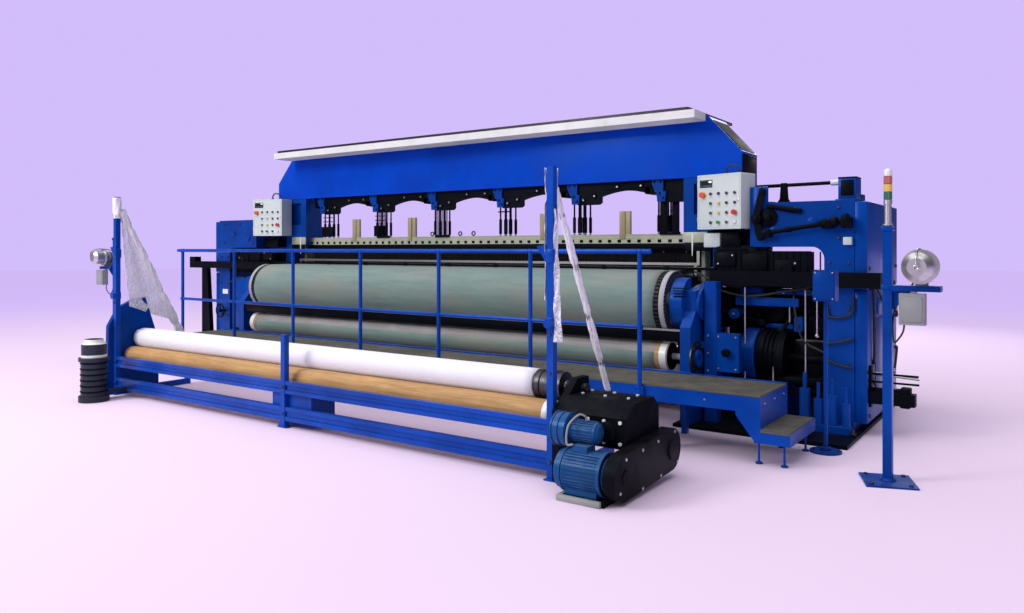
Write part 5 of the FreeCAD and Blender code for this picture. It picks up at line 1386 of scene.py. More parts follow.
@dataclass
class EndFrames(SubAssembly):
    """The two end frames with everything bolted into and onto their bays."""

    wall: float = 3.28
    leg: float = 4.30
    outer: float = 4.55
    side: float = 4.655
    front: float = -0.65
    arm_front: float = -0.40
    arm_top: float = 2.05
    arm_end: float = 3.7
    cover_front: float = -1.0
    gear_plate: float = -0.392
    wheel: tuple = (0.0, -0.50, 0.61)

    def build(self) -> None:
        """Dresses the frames, then fills the drive bay and the far bay."""
        self.dress(Look.FRAME, "end_frames", "actuator_cylinders")
        self.dress(Look.BAR_STEEL, "tie_beams")
        self.dress(Look.FRAME, "drive_covers")
        self.dress(Look.BLACK, "rapier_drives", "rapier_rails", "floor_plates", "main_motor",
                   "drive_wheel", "handwheel")
        self.add_side_covers()
        self.add_castings()
        self.add_arm_fittings()
        self.add_shafts()
        self.add_pipes()
        self.add_gear_covers()
        self.add_bay_machinery()
        self.add_wheel_details()
        self.add_guard()
        self.add_far_bay()

    def face(self, x: float) -> float:
        """The Y of the front face: the arm's near the middle, the leg's beyond the arm's end."""
        return self.front if x > self.arm_end else self.arm_front

    def add_side_covers(self) -> None:
        """Flat covers bolted to the outer faces of both end frames, in three lengths."""
        cover = [block((self.outer - 0.002, y0, z0), (self.side, y1, z1), 0.010)
                 for y0, y1, z0,
                 z1 in ((-0.640, 0.10, 0.10, 1.26), (0.106, 0.80, 0.10, 1.26), (-0.645, 0.83, 1.266, 2.035))]
        cover.append(block((self.side - 0.001, -0.30, 0.30), (self.side + 0.006, 0.20, 1.00), 0.003))
        self.add("side_covers", both_ends(joined(cover)), Look.FRAME, slot="frame_blue")

    def add_castings(self) -> None:
        """Bolt heads, raised bosses and foot nuts on both end frames."""
        bolts = [hexagon(Axis.Y, (x, self.face(x), z), 0.026, -0.012)
                 for x, z in ((3.34, 1.70), (3.34, 1.99), (3.75, 1.70), (4.05, 1.99), (4.42, 1.99),
                              (4.42, 1.72))]
        bolts += [hexagon(Axis.Y, (x, self.front, z), 0.024, -0.011)
                  for x in (4.345, 4.505) for z in (0.20, 0.62, 1.10, 1.50)]
        bolts += [hexagon(Axis.X, (self.side, y, z), 0.030, 0.014)
                  for y, z in ((-0.56, 0.16), (0.70, 0.16), (-0.56, 1.45), (0.74, 1.45), (0.30, 1.52))]
        bolts += [hexagon(Axis.X, (3.18, y, z), 0.022, -0.010) for y in (0.4, 0.9) for z in (0.5, 1.0)]
        self.add("frame_bolts", both_ends(joined(bolts)), Look.DARK_STEEL)
        boss = [lathe([(self.front - 0.014, 0.040), (self.front - 0.011, 0.046),
                       (self.front + 0.002, 0.048)], Axis.Y, (x, 0, z), 28) for x,
                       z in ((3.86, 1.78), (4.20, 1.86))]
        boss.append(lathe([(self.side - 0.002, 0.085), (self.side + 0.012, 0.080),
                           (self.side + 0.016, 0.072)],
                          Axis.X, (0, -0.15, 1.10), 36))
        boss.append(block((3.30, self.arm_front - 0.010, 1.83), (3.66, self.arm_front + 0.002, 1.93), 0.008))
        self.add("frame_bosses", both_ends(joined(boss)), Look.FRAME, slot="frame_blue")
        nuts = [hexagon(Axis.Z, (4.585, y, 0.040), 0.038, 0.020) for y in (-0.85, 0.85)]
        nuts += [lathe([(0.058, 0.012), (0.085, 0.012), (0.088, 0.010)], Axis.Z, (4.585, y, 0), 14)
                 for y in (-0.85, 0.85)]
        self.add("foundation_nuts", both_ends(joined(nuts)), Look.DARK_STEEL)

    def add_arm_fittings(self) -> None:
        """The lever, the top shaft, the small boxes and the levelling blocks of the drive arm."""
        y, x, z = self.front, self.wall + 0.43, self.arm_top - 0.15
        link = prism([(-0.19, 0.005), (-0.21, 0.035), (-0.19, 0.065), (-0.04, 0.035), (0.05, 0.035),
                      (0.26, 0.09),
                      (0.29, 0.06), (0.28, 0.03), (0.03, -0.035), (-0.03, -0.035)], Axis.Y, y - 0.052,
                      y - 0.030, 0.003)
        hub = [lathe([(y - 0.075, 0.040), (y - 0.070, 0.046), (y + 0.002, 0.050)], Axis.Y, (0, 0, 0), 28),
               lathe([(y - 0.090, 0.020), (y - 0.088, 0.024), (y - 0.07, 0.024)], Axis.Y, (0, 0, 0), 20),
               lathe([(y - 0.066, 0.018), (y - 0.062, 0.022), (y - 0.028, 0.024)], Axis.Y, (0.06, 0, 0.25),
                     18),
               lathe([(y - 0.066, 0.026), (y - 0.062, 0.030), (y + 0.002, 0.030)], Axis.Y, (0.035, 0, -0.17),
                     18)]
        self.add("shift_lever", joined([link] + hub).moved(x, 0, z), Look.BLACK)
        disc = [lathe([(y - 0.026, 0.082), (y - 0.022, 0.088), (y + 0.002, 0.088)], Axis.Y, (0.09, 0, 0.01),
                      36),
                lathe([(y - 0.060, 0.028), (y - 0.056, 0.034), (y - 0.02, 0.034)], Axis.Y, (0.10, 0, 0.01),
                      24),
                tube(line_of((0.12, y - 0.03, 0.11), (0.37, y - 0.03, 0.065), 5),
                     np.array([0.014, 0.022, 0.022, 0.026, 0.018]), 14),
                block((0.09, y - 0.04, 0.09), (0.15, y + 0.002, 0.13), 0.006),
                block((0.34, y - 0.045, 0.045), (0.40, y + 0.002, 0.085), 0.006)]
        self.add("shift_cam", joined(disc).moved(x, 0, z), Look.BLACK)
        bar = tube(line_of((3.47, -0.30, 2.225), (4.40, -0.30, 2.235), 6), 0.017, 14)
        carrier = [prism([(2.045, 3.78), (2.045, 3.92), (2.10, 3.885), (2.25, 3.875), (2.25, 3.825),
                          (2.10, 3.815)], Axis.Y,
                         -0.33, -0.27, 0.004)]
        self.add("top_shaft", joined([bar] + carrier), Look.BLACK)
        sleeve = lathe(ring_profile(3.475, 3.565, 0.020, 0.027, 0.005), Axis.X,
                       (0.80, -0.30, 2.234), 20)
        self.add("top_shaft_sleeve", sleeve, Look.WHITE_PLASTIC, slot="panel_grey")
        box = [block((4.36, -0.40, 2.045), (4.52, -0.20, 2.265), 0.012),
               block((4.34, -0.42, 2.045), (4.54, -0.16, 2.075), 0.006),
               block((4.40, -0.15, 2.045), (4.52, -0.02, 2.13), 0.010)]
        self.add("arm_box", joined(box), Look.FRAME, slot="frame_blue")
        lid = [block((4.385, -0.407, 2.105), (4.495, -0.398, 2.245), 0.003),
               block((4.36, -0.40, 2.262), (4.52, -0.20, 2.275), 0.003)]
        self.add("arm_box_lid", joined(lid), Look.BLACK)
        small = block((4.465, self.front - 0.04, 1.655), (4.535, self.front + 0.15, 1.725), 0.006)
        self.add("sensor_box", joined([small, block((3.16, -0.60, 1.635), (3.325, -0.42, 1.775), 0.010)]),
                 Look.PANEL,
                 slot="panel_grey")
        dark = [block((3.345, -0.61, 1.635), (3.53, -0.42, 1.780), 0.010),
                block((3.36, -0.618, 1.66), (3.515, -0.608, 1.755), 0.003),
                block((3.16, -0.50, 1.72), (3.56, -0.40, 1.80), 0.006),
                block((3.29, -0.60, 1.585), (3.78, -0.42, 1.655), 0.012),
                block((3.60, -0.63, 1.56), (3.70, -0.42, 1.64), 0.012)]
        self.add("terminal_box", joined(dark), Look.BLACK)
        pad = block((3.50, -0.36, 2.045), (3.76, -0.02, 2.075), 0.006)
        self.add("levelling_pads", both_ends(pad), Look.FRAME, slot="frame_blue")

    def add_shafts(self) -> None:
        """The jointed shaft beside the arm with its forks, and the rapier drive's knobs, covers and bolts."""
        ends = np.array([[3.80, -0.72, 1.765], [4.50, -0.73, 1.870]])
        run = (ends[1] - ends[0]) / np.linalg.norm(ends[1] - ends[0])
        shaft = [tube(line_of(*ends, 5), 0.020, 14)]
        for at, size in ((0.0, 0.034), (0.30, 0.026), (0.74, 0.042), (0.86, 0.048), (1.0, 0.056)):
            middle = ends[0] + (ends[1] - ends[0]) * at
            shaft.append(tube(line_of(middle - run * 0.035, middle + run * 0.035, 5),
                              np.array([0.7, 1.0, 1.0, 1.0, 0.7]) * size, 14))
        shaft.append(block((3.77, -0.75, 1.725), (3.85, -0.64, 1.800), 0.012))
        shaft.append(block((4.46, -0.78, 1.80), (4.545, -0.64, 1.90), 0.016))
        shaft.append(block((4.30, -0.76, 1.80), (4.40, -0.64, 1.88), 0.016))
        self.add("jointed_shaft", joined(shaft), Look.BLACK)
        knobs = [lathe([(-0.705, 0.016), (-0.699, 0.023), (-0.677, 0.023), (-0.671, 0.012), (-0.640, 0.010)],
                       Axis.Y, (x, 0, 1.28), 20) for x in (self.wall + 0.125, self.wall + 0.26)]
        self.add("drive_knobs", joined(knobs), Look.WHITE_PLASTIC, slot="panel_grey")
        lumps = [block((3.30, -0.66, 1.45), (3.50, -0.62, 1.59), 0.010),
                 block((3.56, -0.67, 1.40), (3.80, -0.62, 1.58), 0.014),
                 block((3.86, -0.655, 1.32), (4.08, -0.62, 1.52), 0.010),
                 lathe([(-0.69, 0.050), (-0.68, 0.062), (-0.63, 0.065)], Axis.Y, (3.98, 0, 1.43), 32),
                 lathe([(-0.69, 0.030), (-0.68, 0.038), (-0.63, 0.040)], Axis.Y, (3.68, 0, 1.34), 24)]
        lumps += [block((x, -0.648, 1.275), (x + 0.012, -0.636, 1.595), 0.002, 2)
                  for x in np.arange(3.30, 4.28, 0.06)]
        self.add("rapier_drive_covers", both_ends(joined(lumps)), Look.BLACK)
        ports = [hexagon(Axis.Y, (x, -0.655, z), 0.018, -0.012)
                 for x, z in ((3.33, 1.48), (3.47, 1.56), (3.60, 1.43), (3.77, 1.55), (3.89, 1.35),
                              (4.05, 1.49))]
        self.add("drive_bolts", both_ends(joined(ports)), Look.ZINC)

    def add_pipes(self) -> None:
        """Conduits over the bay, the leg and the side covers, the push rods, the pipes and the stop bar."""
        y = self.front - 0.022
        black = [curve([(3.10, -0.68, 1.40), (3.45, -0.70, 1.27), (3.85, -0.69, 1.30), (4.25, -0.68, 1.22),
                        (4.35, y, 1.02)], 8),
                 curve([(3.20, -0.66, 1.27), (3.60, -0.70, 1.18), (4.00, -0.69, 1.24), (4.30, -0.68, 1.30)],
                       8),
                 curve([(4.30, y, 1.03), (4.42, y - 0.01, 1.015), (4.53, y, 1.06), (4.545, y + 0.01, 1.20)],
                       8),
                 curve([(4.30, y, 0.78), (4.43, y - 0.01, 0.80), (4.545, y, 0.84)], 8),
                 curve([(4.30, y, 0.66), (4.40, y - 0.015, 0.61), (4.53, y, 0.58)], 8),
                 curve([(4.02, -0.60, 1.26), (4.05, -0.66, 1.05), (4.12, -0.66, 0.80), (4.30, y, 0.70)], 8)]
        self.add("black_conduits", joined([tube(p, 0.011, 10) for p in black]), Look.RUBBER)
        silver = [line_of((self.wall + x, self.front - out, z0), (self.wall + x, self.front - out, z1), 6)
                  for x, out, z0, z1 in ((0.33, 0.07, 0.40, 1.28), (0.59, 0.07, 0.39, 0.68),
                                         (0.86, 0.01, 0.30, 1.28), (0.71, -0.03, 0.95, 1.15))]
        self.add("push_rods", joined([tube(p, 0.009, 12) for p in silver]), Look.STEEL, slot="bright_steel")
        feet = [block((3.58, -0.745, 0.385), (3.90, -0.52, 0.415), 0.008),
                block((3.590, -0.735, 1.262), (3.636, -0.62, 1.30), 0.006),
                block((3.845, -0.735, 0.665), (3.889, -0.70, 0.70), 0.006),
                block((4.125, -0.675, 1.265), (4.160, -0.62, 1.30), 0.006),
                block((3.70, -0.69, 0.40), (4.28, -0.52, 0.46), 0.010),
                block((3.28, -0.60, 0.29), (4.30, -0.54, 0.33), 0.006),
                block((3.70, -0.60, 0.03), (3.78, -0.54, 0.41), 0.006),
                block((4.18, -0.60, 0.03), (4.26, -0.54, 0.41), 0.006)]
        self.add("rod_shelf", joined(feet), Look.BLACK)
        side = []
        x = self.side + 0.016
        for y0, z0, y1, z1 in ((-0.50, 1.30, -0.40, 0.62), (-0.44, 1.36, 0.40, 1.12),
                               (0.30, 0.40, 0.75, 0.62),
                               (-0.52, 0.50, 0.10, 0.30), (0.55, 1.30, 0.76, 0.95)):
            side.append(tube(curve([(x - 0.02, y0, z0), (x, y0 + 0.03, z0 - 0.02),
                                    (x + 0.006, (y0 + y1) / 2, (z0 + z1) / 2 - 0.10),
                                    (x, y1 - 0.03, z1), (x - 0.02, y1, z1 + 0.01)], 8), 0.012, 10))
        self.add("side_conduits", both_ends(joined(side)), Look.RUBBER)
        clips = [block((self.side - 0.002, yy - 0.012, zz - 0.02), (self.side + 0.032, yy + 0.012, zz + 0.02),
                       0.004)
                 for yy, zz in ((-0.03, 1.13), (0.525, 0.43), (-0.21, 0.31), (0.655, 1.03))]
        self.add("conduit_clips", both_ends(joined(clips)), Look.ZINC)
        low = [tube(line_of((self.outer - 0.01, -0.50 + 0.09 * k, 0.545 - 0.03 * k),
                            (5.03, -0.50 + 0.09 * k, 0.52 - 0.03 * k), 4),
                    0.009, 12) for k in range(2)]
        self.add("bleed_pipes", joined(low), Look.STEEL, slot="bright_steel")
        bar = [block((self.outer - 0.01, -0.56, 0.28), (4.98, -0.50, 0.41), 0.010),
               block((4.90, -0.59, 0.26), (4.98, -0.47, 0.43), 0.010),
               block((self.side, -0.58, 0.24), (self.side + 0.02, -0.48, 0.60), 0.006)]
        self.add("stop_bar", joined(bar), Look.BLACK)

    def add_gear_covers(self) -> None:
        """Slits, bolts and a knob on the drive covers beside the drum, and the press roller's flange."""
        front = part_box("drive_covers")[0][1]
        slit = [block((3.10, front - 0.004, z), (3.24, front + 0.003, z + 0.010), 0.002, 2)
                for z in (1.18, 1.205, 1.23, 1.255)]
        self.add("cover_slits", joined(slit), Look.BLACK)
        flange = lathe(ring_profile(3.275, 3.295, 0.140, 0.150, 0.003), Axis.X,
                       (0, -1.10, 0.62), 48)
        ring = around(hexagon(Axis.X, (3.295, 0, 0.125), 0.018, 0.009), Axis.X, (0, -1.10, 0.62), 8)
        self.add("press_flange", joined([flange, ring]), Look.DARK_STEEL)
        front = self.cover_front
        bolts = [hexagon(Axis.Y, (3.36, front, z), 0.018, -0.008) for z in (0.50, 0.66, 0.82)]
        bolts += [hexagon(Axis.Y, (x, front, z), 0.016, -0.008) for x in (3.46, 3.62) for z in (0.53, 0.82)]
        self.add("cover_bolts", joined(bolts), Look.ZINC)
        knob = lathe([(front - 0.06, 0.030), (front - 0.055, 0.036), (front - 0.02, 0.036),
                      (front - 0.015, 0.014),
                      (front + 0.004, 0.014)], Axis.Y, (3.54, 0, 0.68), 24)
        self.add("cover_knob", knob, Look.BLACK)

    def add_bay_machinery(self) -> None:
        """The black gear plates, discs and links that close the drive bay, with blue brackets."""
        y = self.gear_plate
        dark = [block((3.29, y, 0.885), (4.29, y + 0.020, 1.262), 0.004),
                block((3.29, -0.236, 0.335), (4.29, -0.222, 0.905), 0.004),
                block((4.00, -0.52, 0.34), (4.27, -0.25, 0.78), 0.020),
                block((3.30, -0.50, 0.86), (3.40, -0.385, 1.262), 0.012)]
        for x, z, r, deep in ((3.56, 1.08, 0.135, 0.055), (3.80, 1.02, 0.105, 0.085),
                              (4.05, 1.08, 0.125, 0.060), (4.18, 0.93, 0.085, 0.10)):
            dark.append(lathe([(y - deep, r - 0.035), (y - deep + 0.004, r - 0.012),
                               (y - deep + 0.014, r - 0.012),
                               (y - deep + 0.020, r), (y - 0.004, r), (y + 0.004, r - 0.02)], Axis.Y,
                               (x, 0, z), 44))
            dark.append(around(block((-0.006, y - deep - 0.004, 0.028), (0.006, y - deep + 0.006, r - 0.03),
                                     0.002, 2), Axis.Y, (x, 0, z), 8))
        for a, b in (((3.43, -0.50, 0.88), (3.47, -0.52, 1.27)), ((3.66, -0.49, 1.00), (3.93, -0.52, 1.18)),
                     ((3.90, -0.56, 0.86), (4.16, -0.54, 1.24)), ((3.34, -0.56, 1.02), (3.72, -0.55, 0.93))):
            dark.append(tube(line_of(a, b, 4), 0.019, 12))
            dark += [lathe([(a[1] - 0.03, 0.026), (a[1] - 0.026, 0.032), (y, 0.032)], Axis.Y,
                           (at[0], 0, at[2]), 20) for at in (a, b)]
        self.add("bay_gearing", joined(dark), Look.BLACK)
        blue = [block((3.86, -0.60, 1.195), (4.28, -0.40, 1.250), 0.010),
                block((3.50, -0.53, 1.185), (3.70, -0.40, 1.262), 0.012),
                block((self.wall + 0.22, self.front - 0.01, 1.09),
                      (self.wall + 0.80, self.front + 0.01, 1.17), 0.008),
                      block((3.52, -0.645, 1.11), (3.56, -0.39, 1.15), 0.004),
                block((4.00, -0.645, 1.11), (4.04, -0.39, 1.15), 0.004),
                block((3.72, -0.47, 0.87), (3.98, -0.385, 0.915), 0.008),
                lathe([(-0.60, 0.040), (-0.59, 0.052), (-0.39, 0.055)], Axis.Y, (3.46, 0, 1.00), 30),
                block((4.02, -0.60, 0.86), (4.10, -0.40, 1.00), 0.012)]
        self.add("bay_brackets", joined(blue), Look.FRAME, slot="frame_blue")
        small = [lathe([(-0.62, 0.009), (-0.615, 0.013), (-0.59, 0.013)], Axis.Y, (x, 0, z), 12)
                 for x, z in ((3.46, 1.00), (3.93, 1.22), (4.20, 1.22), (4.06, 0.93))]
        small += [hexagon(Axis.Y, (x, y, z), 0.018, -0.009) for x,
                  z in ((3.32, 1.23), (3.70, 0.95), (3.93, 0.93), (4.26, 1.14), (3.93, 1.13), (3.68, 1.22))]
        self.add("bay_fittings", joined(small), Look.ZINC)

    def add_wheel_details(self) -> None:
        """Ribs round the drive wheel, and a raised ring with bolts on its face."""
        at = self.wheel
        rim = [lathe(ring_profile(x, x + 0.018, 0.2495, 0.2540, 0.004), Axis.X, at,
                     72)
               for x in (3.725, 3.765, 3.805, 3.845, 3.885, 3.925)]
        self.add("wheel_ribs", joined(rim), Look.BLACK, "drive_wheel")
        face = [lathe([(3.7185, 0.165), (3.7140, 0.170), (3.7140, 0.215), (3.7185, 0.220)], Axis.X, at, 64),
                around(hexagon(Axis.X, (3.7185, 0, 0.14), 0.022, -0.012), Axis.X, at, 8)]
        self.add("wheel_face", joined(face), Look.DARK_STEEL, "drive_wheel")

    def add_guard(self) -> None:
        """The blue guard ring on the inner side of the drive wheel, and the plate behind the shift lever."""
        low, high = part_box("drive_wheel")
        y, z, r = (low[1] + high[1]) / 2, (low[2] + high[2]) / 2, (high[2] - low[2]) / 2 + 0.012
        ring = lathe([(3.56, 0.12), (3.566, r - 0.01), (3.58, r), (3.69, r), (3.70, r - 0.008), (3.70, 0.12)],
                     Axis.X, (0, y, z), 64)
        foot = block((3.60, y - 0.08, 0.03), (3.66, y + 0.08, low[2] + 0.04), 0.006)
        base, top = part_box("gantry_columns")[0][2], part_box("end_frames")[1][2]
        shift = block((3.63, self.front + 0.01, base), (3.80, self.front + 0.032, top + 0.15), 0.008)
        brace = block((3.66, self.front + 0.028, base + 0.02), (3.76, self.front + 0.26, base + 0.10), 0.006)
        self.add("wheel_guard", joined([ring, foot]), Look.FRAME, slot="frame_blue")
        self.add("shift_plate", joined([shift, brace]), Look.FRAME, slot="frame_blue")

    def add_far_bay(self) -> None:
        """Covers, conduits, the arm's gear and a bare plate on the far end frame."""
        x = -self.leg
        blank = block((-4.47, self.front - 0.004, 0.94), (-4.34, self.front + 0.001, 1.01), 0.0015, 2)
        self.add("bare_plate", blank, Look.WHITE_PLASTIC, slot="panel_grey")
        cover = [block((-3.62, -1.06, 0.50), (-3.34, -0.62, 0.95), 0.030),
                 block((-4.10, -0.70, 0.45), (-3.70, -0.30, 1.20), 0.030),
                 block((-4.02, -0.60, 0.03), (-3.78, -0.36, 0.46), 0.010),
                 block((-3.56, -0.90, 0.03), (-3.40, -0.70, 0.51), 0.010)]
        self.add("far_covers", joined(cover), Look.FRAME, slot="frame_blue")
        arm = [lathe([(self.arm_front - 0.10, 0.05), (self.arm_front - 0.09, 0.06),
                      (self.arm_front + 0.002, 0.065)], Axis.Y, (-3.70, 0, 1.86), 32),
               block((-3.60, -0.56, 1.645), (-3.30, -0.40, 1.78), 0.012),
               block((-4.26, -0.50, 1.70), (-4.12, -0.40, 1.96), 0.012),
               tube(line_of((-4.20, -0.47, 1.92), (-3.70, -0.47, 1.86), 5), 0.018, 12)]
        self.add("far_arm_gear", joined(arm), Look.BLACK)
        path = [curve([(x, -0.672, 1.10), (-4.0, -0.69, 1.20), (-3.6, -0.69, 1.16), (-3.2, -0.66, 1.30)], 8),
                curve([(-3.40, -0.95, 0.90), (-3.44, -0.92, 1.10), (-3.60, -0.72, 1.24)], 8)]
        self.add("far_conduits", joined([tube(p, 0.011, 10) for p in path]), Look.RUBBER)


@dataclass
class Walkway(SubAssembly):
    """The deck, its step, its skirts and the handrail along it."""

    x1: float = 4.19
    front: float = -2.101
    back: float = -1.40
    top: float = 0.52
    step: tuple = (4.19, 4.41, 0.26)
    rail: float = -2.12
    bolt_height: float = 0.448
    posts: Array = field(default_factory=lambda: 1.07 * np.arange(-3, 4))

    def build(self) -> None:
        """Dresses the walkway and adds its edging, bolts and rail fittings."""
        self.dress(Look.RAIL, "walkway_frame", "handrail")
        self.dress(Look.TREAD, "walkway_treads")
        self.add_edges()
        self.add_rail_fittings()

    def add_edges(self) -> None:
        """Rolled nosings, the raised bars of the tread, and the fascia's bolts."""
        nose = [tube(line_of((3.70, self.front + 0.004, self.top - 0.008),
                             (self.x1, self.front + 0.004, self.top - 0.008), 4), 0.008, 10),
                tube(line_of((self.step[0], self.front + 0.004, self.step[2] - 0.008),
                             (self.step[1] - 0.004, self.front + 0.004, self.step[2] - 0.008), 4), 0.008, 10)]
        self.add("tread_nosing", joined(nose), Look.TREAD, slot="tread_plate")
        bar = prism([(-0.016, 0.0), (-0.008, -0.0035), (0.008, -0.0035), (0.016, 0.0), (0.008, 0.0035),
                     (-0.008, 0.0035)],
                    Axis.Z, 0.0, 0.0016, 0.0012)
        one, two = bar.turned(Axis.Z, 45.0), bar.turned(Axis.Z, -45.0)
        pitch = 0.045
        x = np.arange(3.45, self.x1 - 0.03, pitch)
        y = np.arange(self.front + 0.05, self.back - 0.03, pitch)
        grid = np.stack(np.meshgrid(x, y, indexing="ij"), -1).reshape(-1, 2)
        odd = (np.round((grid[:, 0] - x[0]) / pitch) + np.round((grid[:, 1] - y[0]) / pitch)) % 2 == 0
        level = np.full((len(grid), 1), self.top)
        places = np.concatenate([grid, level], -1)
        self.add("tread_bars", joined([one.repeated(places[odd]), two.repeated(places[~odd])]), Look.TREAD,
                 slot="tread_plate")
        bolts = [hexagon(Axis.Y, (x, self.front - 0.0005, self.bolt_height), 0.016, -0.007)
                 for x in np.arange(-3.2, 4.1, 0.535)]
        bolts += [hexagon(Axis.X, (self.x1, y, self.bolt_height), 0.016, 0.006) for y in (-2.0, -1.75, -1.50)]
        self.add("fascia_bolts", joined(bolts), Look.ZINC)

    def add_rail_fittings(self) -> None:
        """Weld rings round the rails at each post, and the posts' feet with their bolts."""
        rings, feet = [], []
        for x in self.posts:
            for z, r in ((1.60, 0.0205), (0.985, 0.0175)):
                for side in (-1, 1):
                    rings.append(lathe([(-0.004, r), (0.0, r + 0.0035), (0.004, r)], Axis.X,
                                       (x + side * 0.022, self.rail, z), 20))
            rings.append(lathe([(1.572, 0.0195), (1.576, 0.0225), (1.580, 0.0195)], Axis.Z, (x, self.rail, 0),
                               20))
        self.add("rail_welds", joined(rings), Look.RAIL, slot="rail_blue")
        for x in self.posts:
            feet.append(block((x - 0.034, self.rail - 0.007, 0.398), (x + 0.034, -2.1015, 0.498), 0.004))
            feet += [hexagon(Axis.Y, (x + dx, self.rail - 0.007, z), 0.014, -0.006) for dx in (-0.026, 0.026)
                     for z in (0.412, 0.484)]
        self.add("post_feet", joined(feet), Look.RAIL, slot="rail_blue")


@dataclass
class FeederStands(SubAssembly):
    """Weft feeders, their stands with signal lamps, and the pull-switch pedestal."""

    x: float = 5.045
    y: float = -2.0
    pedestal: tuple = (4.49, -1.40)
    bolt_circle: float = 0.175

    def build(self) -> None:
        """Dresses the stands and makes the signal lamps and feeder details."""
        self.dress(Look.FRAME, "feeder_stands", "pedestal")
        self.dress(Look.BOX_GREY, "feeder_bodies")
        self.dress(Look.ZINC, "weft_drum_left", "weft_drum_right")
        self.dress(Look.STEEL, "pull_rod")
        self.add_signal_lamps()
        self.add_feeder_details()
        self.add_pedestal_details()

    def add_signal_lamps(self) -> None:
        """A silver tube with green, amber and red lenses and a light cap, as one tower a side."""
        bands = {Look.ZINC: [(1.780, 0.027), (1.783, 0.032), (1.792, 0.032), (1.795, 0.0235), (1.930, 0.0235),
                             (1.932, 0.028), (1.960, 0.028), (1.962, 0.024)],
                 Look.GREEN_LENS: [(1.962, 0.025), (1.965, 0.0275), (2.012, 0.0275), (2.015, 0.025)],
                 Look.AMBER: [(2.018, 0.025), (2.021, 0.0275), (2.066, 0.0275), (2.069, 0.025)],
                 Look.RED_LENS: [(2.072, 0.025), (2.075, 0.0275), (2.122, 0.0275), (2.125, 0.025)],
                 Look.WHITE_PLASTIC: [(2.126, 0.026), (2.128, 0.028), (2.158, 0.028), (2.170, 0.022),
                                      (2.179, 0.010)]}
        first = None
        for look, profile in bands.items():
            ring = lathe(profile, Axis.Z, (self.x, self.y, 0), 32)
            made = self.add("signal_" + look.name.lower(), both_ends(ring), look, slot="beacon")
            first = first or made
        gaskets = [lathe([(z, 0.0262), (z + 0.003, 0.0262)], Axis.Z, (self.x, self.y, 0), 28)
                   for z in (2.015, 2.069, 2.1235)]
        gasket = joined(gaskets)
        self.add("signal_gaskets", both_ends(gasket), Look.RUBBER, slot="beacon")
        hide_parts("signal_lamps")

    def add_feeder_details(self) -> None:
        """Each feeder's bands, guide arm, box lid and lead, and its stand's clamps and bolts."""
        ax, az = 5.255, 1.50
        band = [lathe(ring_profile(y, y + 0.014, 0.0800, 0.0830, 0.002), Axis.Y,
                      (ax, 0, az), 40)
                for y in (-2.045, -1.99, -1.93, -1.885)]
        self.add("feeder_bands", both_ends(joined(band)), Look.RUBBER)
        arm = [tube(curve([(ax, -1.90, az + 0.078), (ax, -2.00, az + 0.11), (ax, -2.15, az + 0.118),
                           (ax, -2.235, az + 0.085), (ax, -2.25, az + 0.02)], 8), 0.006, 10)]
        t = np.linspace(0, 2 * math.pi, 21)
        arm.append(tube(np.stack([ax + 0.014 * np.cos(t), 0 * t - 2.25, az + 0.014 * np.sin(t)], -1), 0.004,
                        8))
        self.add("feeder_guides", both_ends(joined(arm)), Look.STEEL, slot="bright_steel")
        lid = [block((5.150, -2.156, 1.13), (5.280, -2.149, 1.30), 0.004)] + \
              [lathe([(-2.160, 0.003), (-2.158, 0.005), (-2.155, 0.005)], Axis.Y, (x, 0, z), 10)
               for x in (5.158, 5.272) for z in (1.14, 1.29)]
        self.add("feeder_box_lids", both_ends(joined(lid)), Look.BOX_GREY, slot="panel_grey")
        lead = curve([(5.16, -2.07, 1.12), (5.15, -2.08, 1.05), (5.10, -2.06, 0.98), (5.082, -2.03, 1.02),
                      (5.078, -2.01, 1.12),
                      (5.10, -1.98, 1.24), (5.18, -1.95, 1.36), (5.225, -1.93, 1.425)], 8)
        self.add("feeder_leads", both_ends(tube(lead, 0.006, 10)), Look.RUBBER)
        clamp = [block((self.x - 0.040, self.y - 0.040, z), (self.x + 0.040, self.y + 0.040, z + 0.03), 0.005)
                 for z in (1.34, 1.745)]
        ring = [lathe([(0.012, 0.050), (0.016, 0.052), (0.030, 0.044)], Axis.Z, (self.x, self.y, 0), 24)]
        self.add("stand_clamps", both_ends(joined(clamp + ring)), Look.FRAME, slot="frame_blue")
        bolts = []
        for turn in (65.0, 155.0, 245.0, 335.0):
            a = math.radians(turn)
            x, y = self.x + self.bolt_circle * math.cos(a), self.y + self.bolt_circle * math.sin(a)
            bolts.append(hexagon(Axis.Z, (x, y, 0.012), 0.026, 0.012))
        self.add("stand_bolts", both_ends(joined(bolts)), Look.DARK_STEEL)

    def add_pedestal_details(self) -> None:
        """Lid, screws and glands of the pedestal's switch box, and bolts in its foot."""
        x, y = self.pedestal
        lid = block((x - 0.075, y - 0.066, 1.215), (x + 0.075, y - 0.0595, 1.44), 0.004)
        self.add("switch_box_lid", lid, Look.FRAME, slot="frame_blue")
        small = [lathe([(y - 0.070, 0.003), (y - 0.068, 0.006), (y - 0.065, 0.006)], Axis.Y, (x + dx, 0, z),
                       10)
                 for dx in (-0.066, 0.066) for z in (1.224, 1.431)]
        self.add("switch_box_screws", joined(small), Look.ZINC)
        self.add("pedestal_bolts",
                 around(hexagon(Axis.Z, (0.095, 0, 0.014), 0.020, 0.010), Axis.Z, (x, y, 0), 4),
                 Look.DARK_STEEL)


